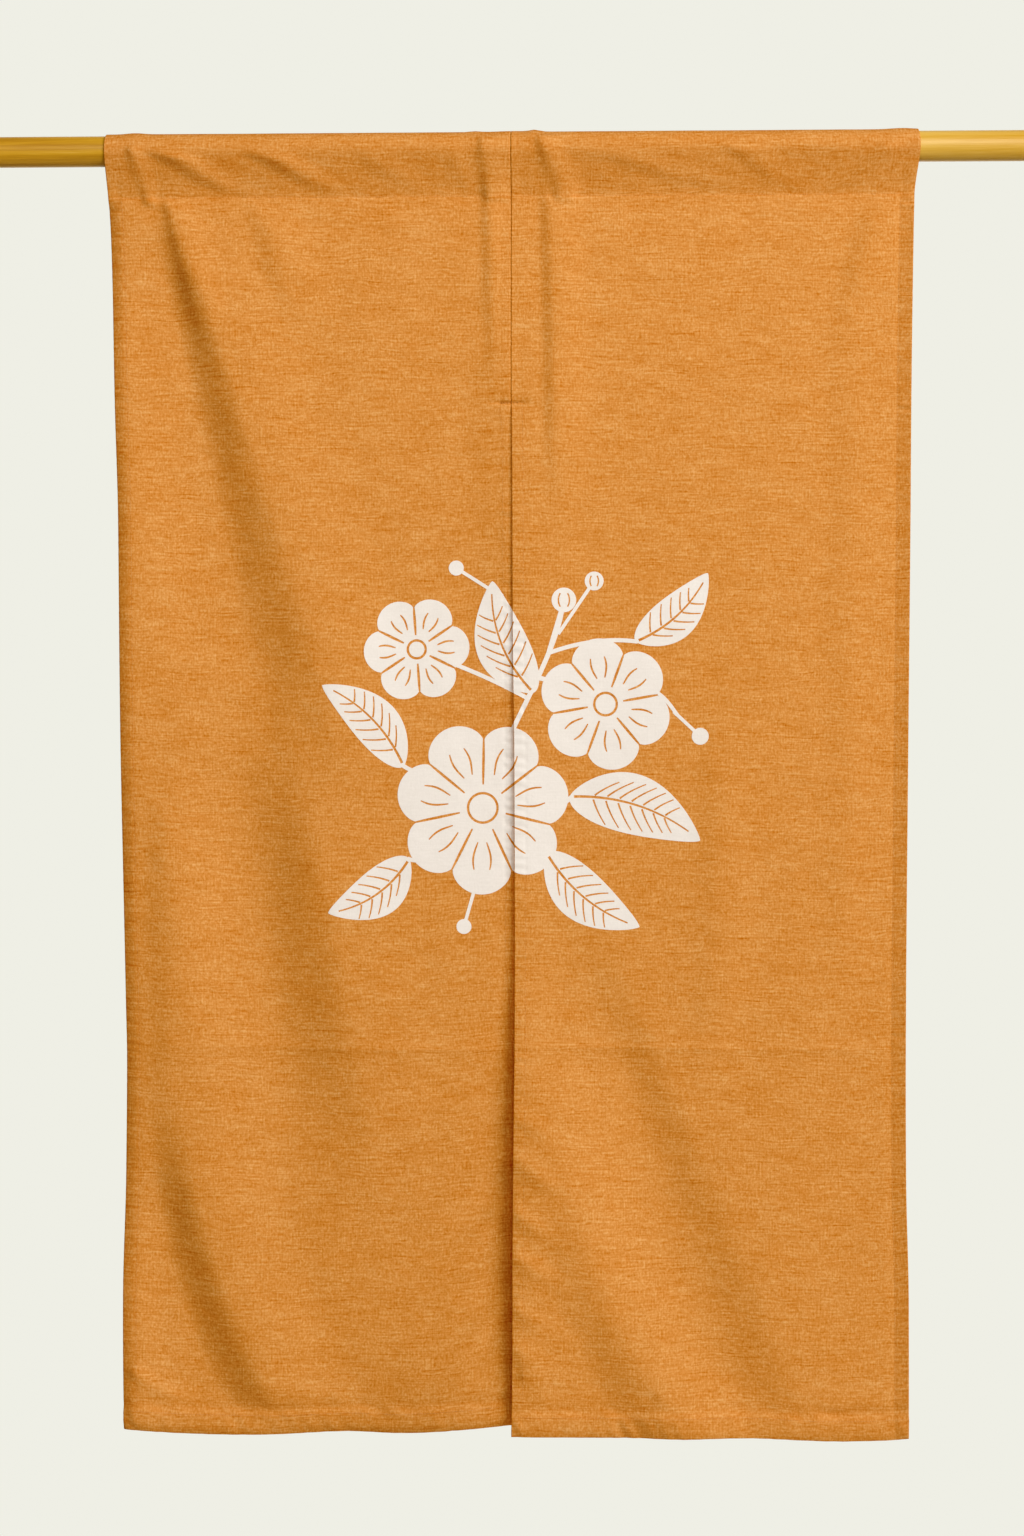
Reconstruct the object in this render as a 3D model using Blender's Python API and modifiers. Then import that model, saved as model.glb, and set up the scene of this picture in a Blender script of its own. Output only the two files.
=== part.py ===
"""A two-panel door curtain (noren) hanging by its rod pockets on a round wooden pole.

Metres, +Z up, +X to the right, and the front of the cloth faces -Y. The origin is the middle of the pole's axis.
Each panel is one piece of cloth. It starts as a short tail behind the pocket seam, goes up behind the pole and
over it, comes down to the seam again, and hangs from there to its bottom hem. The panels meet at the centre
seam, and below it the slit parts them, with the left panel's edge a little behind the right one's.
"""

import math

import bmesh
import bpy
import numpy as np

MM = 0.001  # the tables are in millimetres

# Driving sizes, in metres
POLE_DIAMETER = 0.032
POLE_LENGTH = 1.200
POLE_SIDES = 48
POLE_CHAMFER = 0.0012
CURTAIN_WIDTH = 0.850
CURTAIN_DROP = 1.368  # from the pole's axis down to the lowest point of the hem
POCKET_DROP = 0.0492  # from the pole's axis down to the pocket seam
SEAM_DROP = 0.269  # from the pole's axis down to the top of the slit
CLOTH_THICKNESS = 0.0012
HEM_THICKNESS = 0.0020
SIDE_HEM = 0.0145
SLIT_HEM = 0.012
BOTTOM_HEM = 0.022
HEM_STEP = 0.0015  # the short slope from a hem's thickness to the cloth's
POLE_CLEARANCE = 0.0006
LAYER_GAP = 0.0006  # between the pocket's two layers at its seam
TAIL = 0.004  # the cloth behind the pocket seam, below its stitches
SLIT_CURL = 0.045  # how far into a panel its slit edge's bending reaches
SLIT_FREEDOM = 0.060  # below the slit's top, where one panel's folds stop reaching the other
RETURN_START = 0.004  # past the middle, where the left panel's hidden edge starts to come forward again
RETURN_WIDE = 0.012

# How finely the cloth is divided
COLUMNS = 30
BODY_ROWS = 34
ARC_ROWS = 11
BACK_ROWS = 2
FRONT_ROWS = 3
CROWDING = 2.2  # how much closer the columns stand along a fold's crest
CROWD_WIDTH = 0.030
CROWD_SAMPLES = 200

# Sizes that follow from the ones above
POCKET_RADIUS = POLE_DIAMETER / 2 + POLE_CLEARANCE + CLOTH_THICKNESS
PINCH = CLOTH_THICKNESS + LAYER_GAP / 2  # how far the cloth's outer face is from the middle at the pocket seam

# How far the folds draw the outer edges in from half the curtain's width, at each z
OUTER_EDGES = [
    dict(z=20, left=-3.8, right=-2.6),
    dict(z=0, left=-4.6, right=-4.0),
    dict(z=-49, left=-2.8, right=0.6),
    dict(z=-90, left=-0.8, right=1.6),
    dict(z=-265, left=3.0, right=3.6),
    dict(z=-390, left=6.8, right=4.2),
    dict(z=-645, left=9.0, right=6.0),
    dict(z=-900, left=13.2, right=7.4),
    dict(z=-965, left=14.4, right=7.5),
    dict(z=-1090, left=13.0, right=6.8),
    dict(z=-1220, left=10.2, right=3.8),
    dict(z=-1363, left=10.8, right=3.4),
]

# The panels' inner edges: how far each is from the middle, where less than nothing is past it, how far the left
# one lies back and the right one stands forward, and how far the left one's hidden edge comes forward again.
# Above the slit they are sewn together.
INNER_EDGES = [
    dict(z=20, left=0.35, right=0.35, left_back=0.0, right_front=0.0, left_return=0.0),
    dict(z=-269, left=0.35, right=0.35, left_back=0.0, right_front=0.0, left_return=0.0),
    dict(z=-300, left=0.4, right=0.6, left_back=1.5, right_front=1.5, left_return=0.0),
    dict(z=-350, left=-1.6, right=1.2, left_back=1.9, right_front=1.8, left_return=0.0),
    dict(z=-500, left=-4.0, right=1.6, left_back=1.8, right_front=1.8, left_return=0.0),
    dict(z=-640, left=-5.6, right=3.2, left_back=2.0, right_front=2.4, left_return=0.0),
    dict(z=-850, left=-6.4, right=3.8, left_back=2.0, right_front=3.4, left_return=0.6),
    dict(z=-940, left=-12.0, right=3.7, left_back=2.6, right_front=6.2, left_return=4.4),
    dict(z=-1050, left=-17.0, right=2.6, left_back=3.0, right_front=8.0, left_return=7.0),
    dict(z=-1180, left=-18.0, right=1.6, left_back=3.6, right_front=7.6, left_return=7.2),
    dict(z=-1280, left=-18.0, right=1.3, left_back=3.8, right_front=6.0, left_return=6.0),
    dict(z=-1363, left=-17.0, right=0.5, left_back=3.4, right_front=4.6, left_return=4.4),
]

# How far each panel's bottom edge is above the lowest point of the hem, from the middle outwards
BOTTOM_EDGES = {
    "left": [
        dict(x=-10, lift=14.5),
        dict(x=46, lift=8.2),
        dict(x=131, lift=2.0),
        dict(x=173, lift=3.0),
        dict(x=258, lift=0.6),
        dict(x=345, lift=2.4),
        dict(x=430, lift=8.0),
    ],
    "right": [
        dict(x=-10, lift=3.6),
        dict(x=124, lift=2.4),
        dict(x=227, lift=3.6),
        dict(x=346, lift=0.0),
        dict(x=399, lift=1.4),
        dict(x=430, lift=4.6),
    ],
}

# The folds. Each is a ridge towards the viewer whose crest runs from (x1, z1) down to (x2, z2), bowed sideways
# by bow in the middle. Its steep side is on the left, flank wide, and falls by height and then by dip, into a
# trough. From the crest and from the trough the cloth comes back to its plane over beyond. At the lower end
# the flank is spread times as wide. rise and fade are the shares of its length in which it grows and dies out.
FOLD_COLUMNS = ("x1", "z1", "x2", "z2", "bow", "height", "dip", "flank", "spread", "beyond", "rise", "fade")
LEFT_FOLDS = [
    (-366, -44, -318, -215, 0, 2.8, 0.6, 11, 2.0, 40, 0.12, 0.5),
    (-360, -44, -143, -740, 5, 5.4, 7.6, 30, 3.2, 104, 0.18, 0.34),
    (-235, -560, -117, -1180, 0, 3, 11, 68, 1.4, 96, 0.34, 0.45),
    (-364, -640, -360, -1080, 0, 2, 1, 34, 1.0, 60, 0.3, 0.3),
    (-346, -980, -226, -1365, -29, 9, 5.4, 40, 1.4, 100, 0.4, 0.1),
    (-274, -40, -214, -210, 3, 3, 0, 24, 1.3, 50, 0.3, 0.6),
    (-24, -30, -14, -310, 0, 2.7, 0, 11, 1.3, 24, 0.06, 0.7),
]
RIGHT_FOLDS = [
    (40, -30, 48, -410, 3, 3.2, 0, 14, 1.2, 44, 0.1, 0.4),
    (398, -40, 352, -210, -4, 3, 0, 26, 1.0, 40, 0.3, 0.6),
    (365, -90, 354, -950, 0, 1.4, 0, 34, 1.2, 40, 0.2, 0.2),
    (226, -560, 214, -1010, 0, 2, 0, 34, 1.0, 50, 0.4, 0.3),
    (72, -760, 327, -1370, 8, 1.8, 4.6, 44, 1.6, 110, 0.4, 0.1),
    (42, -900, 190, -1370, -40, 10, 0, 52, 1.3, 90, 0.95, 0.0),
]
POCKET_FOLDS = [
    (-402, 6, -382, -62, -2, 1.8, 0, 10, 1.2, 16, 0.1, 0.3),
    (-370, 0, -288, -50, 0, 5.0, 0, 25, 1.0, 30, 0.2, 0.22),
    (-276, 2, -186, -50, 5, 4.8, 0, 28, 1.0, 34, 0.3, 0.22),
    (-150, -2, -92, -52, -3, 2.2, 0, 24, 1.0, 30, 0.3, 0.3),
    (-62, 4, -44, -52, 0, 1.6, 0, 16, 1.0, 12, 0.3, 0.3),
    (-31, 12, -23, -58, -1, 1.2, 0, 9, 1.6, 22, 0.05, 0.3),
    (31, 14, 62, -62, -3, 1.8, 0, 14, 1.8, 24, 0.08, 0.4),
    (84, 0, 240, -50, 0, 2.2, 0, 42, 1.0, 50, 0.3, 0.25),
    (232, 4, 300, -50, 0, 2.4, 0, 22, 1.0, 36, 0.2, 0.25),
    (404, 6, 340, -50, 2, 3.4, 0, 20, 1.0, 20, 0.2, 0.25),
]
FOLDS = [dict(zip(FOLD_COLUMNS, row)) for row in LEFT_FOLDS + RIGHT_FOLDS + POCKET_FOLDS]

# The broad waves under those folds: how far the cloth stands forward around (x, z), and how widely it does
WAVES = [
    dict(x=-440, z=-520, height=6.0, wide=60, tall=200),
    dict(x=-1, z=-380, height=4.5, wide=32, tall=210),
    dict(x=1, z=-380, height=4.5, wide=90, tall=210),
    dict(x=-440, z=-1250, height=7.0, wide=60, tall=160),
    dict(x=-170, z=-1400, height=-16.0, wide=90, tall=90),
    dict(x=50, z=-1130, height=9.5, wide=70, tall=220),
    dict(x=250, z=-600, height=4.0, wide=150, tall=330),
    dict(x=415, z=-1000, height=-3.0, wide=70, tall=420),
]

# Where the cloth is bunched on the pole and stands off its crown
BUNCHES = [
    dict(x=-398, height=1.3, wide=12),
    dict(x=-38, height=0.9, wide=7),
    dict(x=2, height=0.8, wide=20),
    dict(x=25, height=1.9, wide=7),
    dict(x=411, height=1.2, wide=16),
]


def eased(share):
    """share, held between 0 and 1, with a soft start and a soft end."""
    share = np.clip(share, 0, 1)
    return share**2 * (3 - 2 * share)


def smooth_through(at, places, values):
    """A smooth curve through (places, values) that never overshoots them, read at the array at. places grow."""
    step = np.diff(places)
    rise = np.diff(values) / step
    slopes = np.concatenate([rise[:1], np.zeros(len(rise) - 1), rise[-1:]])
    turns = rise[:-1] * rise[1:] <= 0
    both = np.where(turns, 1.0, rise[:-1] + rise[1:])
    slopes[1:-1] = np.where(turns, 0.0, 2 * rise[:-1] * rise[1:] / both)
    i = np.clip(np.searchsorted(places, at) - 1, 0, len(step) - 1)
    t = np.clip((at - places[i]) / step[i], 0, 1)
    from_start = eased(1 - t) * values[i] + t * (1 - t) ** 2 * step[i] * slopes[i]
    to_end = eased(t) * values[i + 1] - t**2 * (1 - t) * step[i] * slopes[i + 1]
    return from_start + to_end


def read_table(table, place, value, at):
    """The smooth curve through two of a table's columns, read at the array at, in metres."""
    rows = sorted(table, key=lambda row: row[place])
    places, values = (np.array([row[key] for row in rows]) * MM for key in (place, value))
    return smooth_through(at, places, values)


def crest_of(fold, z):
    """Where a fold's crest is at z, how far the fold has grown there, from 0 to 1, and its flank's width."""
    along = np.clip((z - fold["z1"] * MM) / ((fold["z2"] - fold["z1"]) * MM), 0, 1)
    straight = fold["x1"] + (fold["x2"] - fold["x1"]) * along
    crest = (straight + fold["bow"] * 4 * along * (1 - along)) * MM
    left_of_it = (1 - along) / fold["fade"] if fold["fade"] else 1.0
    flank = fold["flank"] * MM * (1 + (fold["spread"] - 1) * along)
    return crest, eased(along / fold["rise"]) * eased(left_of_it), flank


def fold_height(x, z, fold):
    """How far one fold stands forward at (x, z): a ridge with a steep flank and a trough on its left."""
    crest, grown, flank = crest_of(fold, z)
    off = x - crest
    height, dip, beyond = (fold[key] * MM for key in ("height", "dip", "beyond"))
    right_side = height * (1 - eased(off / beyond))
    steep_side = height - (height + dip) * eased(-off / flank)
    trough_side = -dip * (1 - eased((-off - flank) / beyond))
    profile = np.where(off > 0, right_side, np.where(off > -flank, steep_side, trough_side))
    return profile * grown


def wave_height(x, z, wave):
    """How far one broad wave stands forward at (x, z): a bell in both directions."""
    across = (x - wave["x"] * MM) / (wave["wide"] * MM)
    down = (z - wave["z"] * MM) / (wave["tall"] * MM)
    return wave["height"] * MM * np.exp(-(across**2) - down**2)


def relief(x, z, side):
    """How far a panel's front stands forward of its hanging plane at (x, z).

    It is the sum of the folds, the waves and the slit edge's own bending. Where the panels are sewn together,
    the folds of one reach the other, and below the slit's top they soon don't.
    """
    sign = -1 if side == "left" else 1
    sewn = eased(1 + (z + SEAM_DROP) / SLIT_FREEDOM)
    own = sum(fold_height(x, z, fold) for fold in FOLDS if fold["x1"] * sign > 0)
    own += sum(wave_height(x, z, wave) for wave in WAVES if wave["x"] * sign > 0)
    others = sum(fold_height(x, z, fold) for fold in FOLDS if fold["x1"] * sign < 0)
    slit = "right_front" if side == "right" else "left_back"
    bending = sign * read_table(INNER_EDGES, "z", slit, z) * np.exp(-((x / SLIT_CURL) ** 2))
    if side == "left":
        bending += read_table(INNER_EDGES, "z", "left_return", z) * eased((x - RETURN_START) / RETURN_WIDE)
    return own + sewn * others + bending


def off_the_crown(x):
    """How far the cloth stands off the pole's crown at x."""
    bells = (row["height"] * MM * np.exp(-(((x - row["x"] * MM) / (row["wide"] * MM)) ** 2)) for row in BUNCHES)
    return sum(bells)


def across_panel(z, side):
    """x of every column at each of the heights z, from the panel's inner edge to its outer one.

    The hems keep their widths, and between them the columns crowd along the crests of the folds.
    """
    sign = -1 if side == "left" else 1
    inner = read_table(INNER_EDGES, "z", side, z)
    outer = CURTAIN_WIDTH / 2 - read_table(OUTER_EDGES, "z", side, z)
    rows = []
    for height, start, end in zip(z, inner, outer):
        first, last = start + SLIT_HEM + HEM_STEP, end - SIDE_HEM - HEM_STEP
        places = np.linspace(first, last, CROWD_SAMPLES)
        crowd = np.ones(CROWD_SAMPLES)
        for fold in FOLDS:
            crest, grown, flank = crest_of(fold, height)
            crowd += CROWDING * grown * np.exp(-(((sign * places - crest) / CROWD_WIDTH) ** 2))
        passed = np.concatenate([[0], np.cumsum((crowd[1:] + crowd[:-1]) / 2)])
        middle = np.interp(np.linspace(0, passed[-1], COLUMNS - 3), passed, places)
        rows.append([start, start + SLIT_HEM, *middle, end - SIDE_HEM, end])
    return sign * np.array(rows)


def pocket_section():
    """The pocket's cross-section, from its tail up behind the pole, over it and down to the seam in front.

    A row is y and z, then the outward direction's y and z, and then how much the row takes of the relief at
    the seam, of the relief in front and of the bunching on the crown.
    """
    slope = math.asin((POCKET_RADIUS - PINCH) / POCKET_DROP)
    out_y, out_z = math.cos(slope), -math.sin(slope)
    touch = np.array([POCKET_RADIUS * out_y, POCKET_RADIUS * out_z])
    seam = np.array([PINCH, -POCKET_DROP])
    rows = [(PINCH, -POCKET_DROP - TAIL, 1, 0, -1, 0, 0)]
    for share in np.linspace(0, 1, BACK_ROWS, endpoint=False):
        y, z = seam + share * (touch - seam)
        rows.append((y, z, out_y, out_z, share - 1, 0, 0))
    for angle in np.linspace(-slope, math.pi + slope, ARC_ROWS + 1):
        y, z = math.cos(angle), math.sin(angle)
        rows.append((POCKET_RADIUS * y, POCKET_RADIUS * z, y, z, 0, max(0, -y), max(0, z)))
    for share in np.linspace(0, 1, FRONT_ROWS + 1)[1:]:
        y, z = touch + share * (seam - touch)
        rows.append((-y, z, -out_y, out_z, share, 1 - share, 0))
    return np.array(rows)


def panel_surface(side):
    """The outer face of one panel as arrays of x, y and z, with a row for each step along the cloth."""
    section = pocket_section()
    y, z, out_y, out_z, from_seam, from_front, from_crown = (column[:, None] for column in section.T)
    x = across_panel(section[:, 1], side)
    at_seam = relief(x, np.minimum(z, -POCKET_DROP), side)
    in_front = np.maximum(relief(x, z, side), 0)
    lift = from_seam * at_seam + from_front * in_front + from_crown * off_the_crown(x)
    pocket = np.stack([x, y + out_y * lift, z + out_z * lift * (from_seam == 0)])

    x = across_panel(np.array([-CURTAIN_DROP]), side)
    bottom = read_table(BOTTOM_EDGES[side], "x", "lift", np.abs(x)) - CURTAIN_DROP
    hem_top = bottom + BOTTOM_HEM
    start = -POCKET_DROP - TAIL
    share = np.linspace(0, 1, BODY_ROWS)[:, None]
    z = np.concatenate([start + share * (hem_top + HEM_STEP - start), hem_top, bottom])
    x = across_panel(z.mean(axis=1), side)
    body = np.stack([x, -PINCH - relief(x, z, side), z])
    return np.concatenate([pocket, body], axis=1)


def material(name, colour, roughness):
    """A Principled material of one colour."""
    made = bpy.data.materials.new(name)
    made.use_nodes = True
    shader = made.node_tree.nodes["Principled BSDF"]
    shader.inputs["Base Color"].default_value = (*colour, 1)
    shader.inputs["Roughness"].default_value = roughness
    shader.inputs["Metallic"].default_value = 0
    return made


def add_object(name, built, surface, collection):
    """A named object made of a bmesh, smooth but for its edges, with its own material."""
    mesh = bpy.data.meshes.new(name)
    built.to_mesh(mesh)
    built.free()
    mesh.materials.append(surface)
    mesh.shade_smooth()
    mesh.set_sharp_from_angle(angle=math.radians(40))
    made = bpy.data.objects.new(name, mesh)
    collection.objects.link(made)
    return made


def panel(side, collection):
    """One panel: a grid laid along the cloth's outer face and thickened inwards, more so in its hems."""
    x, y, z = panel_surface(side)
    rows, columns = x.shape
    built = bmesh.new()
    hem_weight = built.verts.layers.deform.verify()
    bmesh.ops.create_grid(built, x_segments=columns - 1, y_segments=rows - 1, size=1)
    for vertex in built.verts:
        column = round((vertex.co.x + 1) / 2 * (columns - 1))
        row = round((1 - vertex.co.y) / 2 * (rows - 1))
        vertex.co = (x[row, column], y[row, column], z[row, column])
        in_side_hem = column in (0, 1, columns - 2, columns - 1)
        in_bottom_hem = row >= rows - 2
        below_pocket = vertex.co.z < -POCKET_DROP - 2 * TAIL
        if below_pocket and (in_side_hem or in_bottom_hem):
            vertex[hem_weight][0] = 1.0
    if side == "left":
        bmesh.ops.reverse_faces(built, faces=built.faces)
    cloth = material(f"linen_look_cloth_{side}", (0.70, 0.29, 0.06), 0.85)
    made = add_object(f"panel_{side}", built, cloth, collection)
    made.vertex_groups.new(name="hems")
    thicken = made.modifiers.new("cloth", "SOLIDIFY")
    thicken.thickness = HEM_THICKNESS
    thicken.offset = -1
    thicken.use_even_offset = True
    thicken.vertex_group = "hems"
    thicken.thickness_vertex_group = CLOTH_THICKNESS / HEM_THICKNESS


def pole(collection):
    """The round pole along X, with the edges of its ends broken."""
    built = bmesh.new()
    radius = POLE_DIAMETER / 2
    bmesh.ops.create_cone(
        built, cap_ends=True, segments=POLE_SIDES, radius1=radius, radius2=radius, depth=POLE_LENGTH
    )
    made = add_object("pole", built, material("lacquered_wood", (0.62, 0.34, 0.06), 0.35), collection)
    made.rotation_euler = (0, math.pi / 2, 0)
    chamfer = made.modifiers.new("broken_edges", "BEVEL")
    chamfer.width = POLE_CHAMFER
    chamfer.segments = 2
    chamfer.limit_method = "ANGLE"
    chamfer.angle_limit = math.radians(40)


def main():
    for old in list(bpy.data.objects):
        bpy.data.objects.remove(old)
    curtain = bpy.data.collections.new("noren_curtain_on_pole")
    bpy.context.scene.collection.children.link(curtain)
    pole(curtain)
    for side in ("left", "right"):
        panel(side, curtain)


main()
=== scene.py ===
"""A two-panel door curtain (noren) of linen-look cloth, hanging by its rod pockets on a wooden pole.

Metres, +Z up, +X to the right, and the front of the cloth faces -Y. The origin is the middle of the pole's
axis. The cloth is a surface in x and z: folds, waves, hems and creases each say how far it stands forward
there.
"""

import math

import bpy
import numpy as np
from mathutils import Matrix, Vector
from mathutils.geometry import delaunay_2d_cdt


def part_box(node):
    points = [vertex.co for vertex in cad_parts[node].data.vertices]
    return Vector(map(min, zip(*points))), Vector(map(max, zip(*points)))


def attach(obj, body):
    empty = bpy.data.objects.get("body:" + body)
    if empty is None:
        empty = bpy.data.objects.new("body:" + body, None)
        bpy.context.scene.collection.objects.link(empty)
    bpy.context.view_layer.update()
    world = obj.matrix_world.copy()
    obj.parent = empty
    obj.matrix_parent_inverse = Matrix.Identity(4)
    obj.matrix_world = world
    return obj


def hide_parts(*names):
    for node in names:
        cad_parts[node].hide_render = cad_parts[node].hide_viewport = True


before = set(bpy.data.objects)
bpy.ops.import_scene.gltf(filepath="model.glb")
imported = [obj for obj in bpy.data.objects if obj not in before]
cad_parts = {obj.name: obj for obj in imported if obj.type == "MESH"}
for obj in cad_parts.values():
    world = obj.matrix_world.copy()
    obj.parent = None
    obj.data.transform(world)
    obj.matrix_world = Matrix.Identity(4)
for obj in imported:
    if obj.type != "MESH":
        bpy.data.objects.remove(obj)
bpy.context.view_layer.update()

MM = 0.001  # the tables are in millimetres


def table(columns, *rows):
    """A table's rows, each with its columns' names: columns is those names with spaces between."""
    return [dict(zip(columns.split(), row)) for row in rows]


# ---------------------------------------------------------------- sizes of the cloth, in metres

POLE_LOW, POLE_HIGH = (Vector(corner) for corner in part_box("pole"))
POLE_RADIUS = (POLE_HIGH.z - POLE_LOW.z) / 2
CURTAIN_WIDTH = 0.850
CURTAIN_DROP = 1.368  # from the pole's axis down to the lowest point of the hem
POCKET_DROP = 0.0492  # from the pole's axis down to the pocket seam
SEAM_DROP = 0.269  # from the pole's axis down to the top of the slit
CLOTH_THICKNESS = 0.0012
HEM_THICKNESS = 0.0015
SIDE_HEM = 0.0145
SLIT_HEM = 0.012
BOTTOM_HEM = 0.022
JUST_PAST = 0.0001  # a hem's last column still belongs to it
HEM_STEP = 0.0015  # the cloth gets thinner over this, at a side hem's inner side
OUTER_HEM_STEP = 0.0016  # between the last columns before that
POLE_CLEARANCE = 0.0006
LAYER_GAP = 0.0006
POCKET_WRAP = math.radians(21.5)  # how far below its middle the cloth leaves the pole
TAIL = 0.004  # behind the pole the cloth goes on below the pocket seam
SEAM_TURN = 0.006  # above the pocket seam, where the cloth turns down
BODY_START = 0.0012  # below the pocket seam, where the body's first row is
TACK_RISE = 0.0012  # the bar tack's middle is above the slit's top
TACK_LINES = (0.7 * MM, 1.9 * MM)  # and its two lines of stitches are this far above it
SLIT_CURL = 0.045  # how far from the slit its edges' bending reaches into the panels
SLIT_FREEDOM = 0.060  # below the slit's top, where one panel's folds leave the other
SLIT_COCKLES_FROM = 0.120  # below the slit's top, where its hems cockle fully
RETURN_START = 0.004  # past the middle, where the left panel's hidden edge starts to come forward
RETURN_WIDE = 0.012
SEAM_ALLOWANCE = 0.0105  # both panels' spare cloth behind the centre seam is pressed to the left
ALLOWANCE_BEYOND = 0.024  # and goes on below the slit's top
SEAM_LAP = 0.003
BOTTOM_STAND = 0.0024  # how far the bottom hems stand forward of the cloth above them
STAND_ABOVE = 0.005  # and how far above their stitches that begins
STAND_TALL = 0.006
BOTTOM_ROLL_TALL = 0.012
CREASE_ROUND = 0.0008
EDGE_ROUNDS = 0.6  # the edges' rounding reaches this share of the thickness into the cloth
EDGE_ROUND = 0.85  # and leaves this share of it off at the rim
RUMPLE_SEED = 3
OPENING = 0.020  # below the slit's top, over which the seam becomes two free hems
BELOW_POCKET = 0.012  # below the pocket seam, over which the side hems become free
HEM_FADE = 0.003  # inside a hem's stitches, where its cockles start to die out
SIDE_FADE_OVER = 0.004
HEM_FADE_OVER = 0.006
RUMPLE_FREE = 0.030  # inside the outer edge, where the cloth rumples fully
TACK_ENDS = 0.003  # beside the bar tack, where its groove dies out

# How finely the cloth is divided, and how much closer its columns are at a fold and its rows at a seam
MIDDLE_COLUMNS = 66
BODY_ROWS = 482
HEM_ROWS = 8
ARC_ROWS = 24
SLOPE_ROWS = 15
ALLOWANCE_ROWS = 90
ALLOWANCE_COLUMNS = 14
COLUMNS_CROWDING = 2.2
CROWD_WIDTH = 0.030
CROWD_SAMPLES = 200
ROWS_CROWDING = 3.0
ROWS_CROWD_TALL = 0.014
ROW_SAMPLES = 1600
# The columns and the rows of a hem, as distances from its edge: close together where the edge is rounded
EDGE_COLUMNS = np.array([0, 0.25, 0.7, 1.3, 2.2, 3.6, 5.2, 7.0, 8.8, 10.4]) * MM
EDGE_ROWS = np.array([0, 0.25, 0.7, 1.3, *np.linspace(2.4, BOTTOM_HEM / MM, HEM_ROWS)]) * MM

POCKET_RADIUS = POLE_RADIUS + POLE_CLEARANCE + CLOTH_THICKNESS
PINCH = CLOTH_THICKNESS + LAYER_GAP / 2

# ---------------------------------------------------------------- tables of the cloth's shape, in millimetres

# How far each panel's outer edge and its bottom edge are rolled back
EDGE_ROLLS = {"left": 3.4, "right": -0.9}
BOTTOM_ROLLS = {"left": 5.0, "right": 3.0}

# Painted shade: how much darker the colour is painted where the cloth lies on more cloth, from 0 to 1. It
# stands for the light from behind, which doubled cloth lets through less.
PAINTED_LAYER_SHADE = {"side hem": 1.0, "spare cloth": 0.6, "pocket": 0.3, "hem": 0.25, "single": 0.0}

# The grooves that the stitches draw in the cloth: how deep and how wide
POCKET_GROOVE = (0.4, 1.8)
SIDE_GROOVE = (0.3, 1.6)
SLIT_GROOVE = (0.22, 1.6)
BOTTOM_GROOVE = (0.9, 5.0)
TACK_GROOVE = (1.7, 1.5)
SEAM_GROOVES = {"left": (0.45, 0.8), "right": (0.45, 0.5)}

# The cockles that the stitches gather the cloth into: how high, how far apart, and their random seed
POCKET_COCKLES = (0.3, 16, 41)
SIDE_COCKLES = (0.42, 10.5, 11)
SLIT_COCKLES = (0.5, 12, 21)
BOTTOM_COCKLES = (0.6, 19, 31)
STAND_COCKLES = (2.2, 38, 51)

# How far the folds draw the outer edges in from half the curtain's width, at each z
OUTER_EDGES = table(
    "z left right",
    (20, -3.8, -2.6),
    (0, -4.6, -4.0),
    (-49, -2.8, 0.6),
    (-90, -0.8, 1.6),
    (-265, 3.0, 3.6),
    (-390, 6.8, 4.2),
    (-645, 9.0, 6.0),
    (-900, 13.2, 7.4),
    (-965, 14.4, 7.5),
    (-1090, 13.0, 6.8),
    (-1220, 10.2, 3.8),
    (-1363, 10.8, 3.4),
)

# The panels' inner edges: how far each is from the middle, where less than nothing is past it, how far the
# left one lies back and the right one stands forward, and how far the left one's hidden edge comes forward
# again. Above the slit they are sewn together.
INNER_EDGES = table(
    "z left right left_back right_front left_return",
    (20, 0.0, 0.0, 0.0, 0.0, 0.0),
    (-269, 0.0, 0.0, 0.0, 0.0, 0.0),
    (-277, 0.0, 0.3, 0.7, 0.6, 0.0),
    (-292, -2.4, 0.6, 1.3, 0.6, 0.0),
    (-350, -3.2, 1.0, 1.5, 0.8, 0.0),
    (-500, -4.0, 1.5, 1.6, 1.4, 0.0),
    (-640, -5.6, 3.2, 2.0, 2.4, 0.0),
    (-850, -6.4, 3.8, 2.0, 3.4, 0.6),
    (-940, -12.0, 3.7, 2.6, 6.2, 4.4),
    (-1050, -17.0, 2.6, 3.0, 8.0, 7.0),
    (-1180, -18.0, 1.6, 3.6, 7.6, 7.2),
    (-1280, -18.0, 1.3, 3.8, 6.0, 6.0),
    (-1363, -17.0, 0.5, 3.4, 4.6, 4.4),
)

# How far each panel's bottom edge is above the lowest point of the hem, from the middle outwards
BOTTOM_EDGES = {
    "left": table(
        "x lift",
        (-10, 14.5),
        (46, 8.2),
        (131, 2.0),
        (173, 3.0),
        (258, 0.6),
        (345, 2.4),
        (430, 8.0),
    ),
    "right": table(
        "x lift",
        (-10, 3.6),
        (124, 2.4),
        (227, 3.6),
        (346, 0.0),
        (399, 1.4),
        (430, 4.6),
    ),
}

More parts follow.
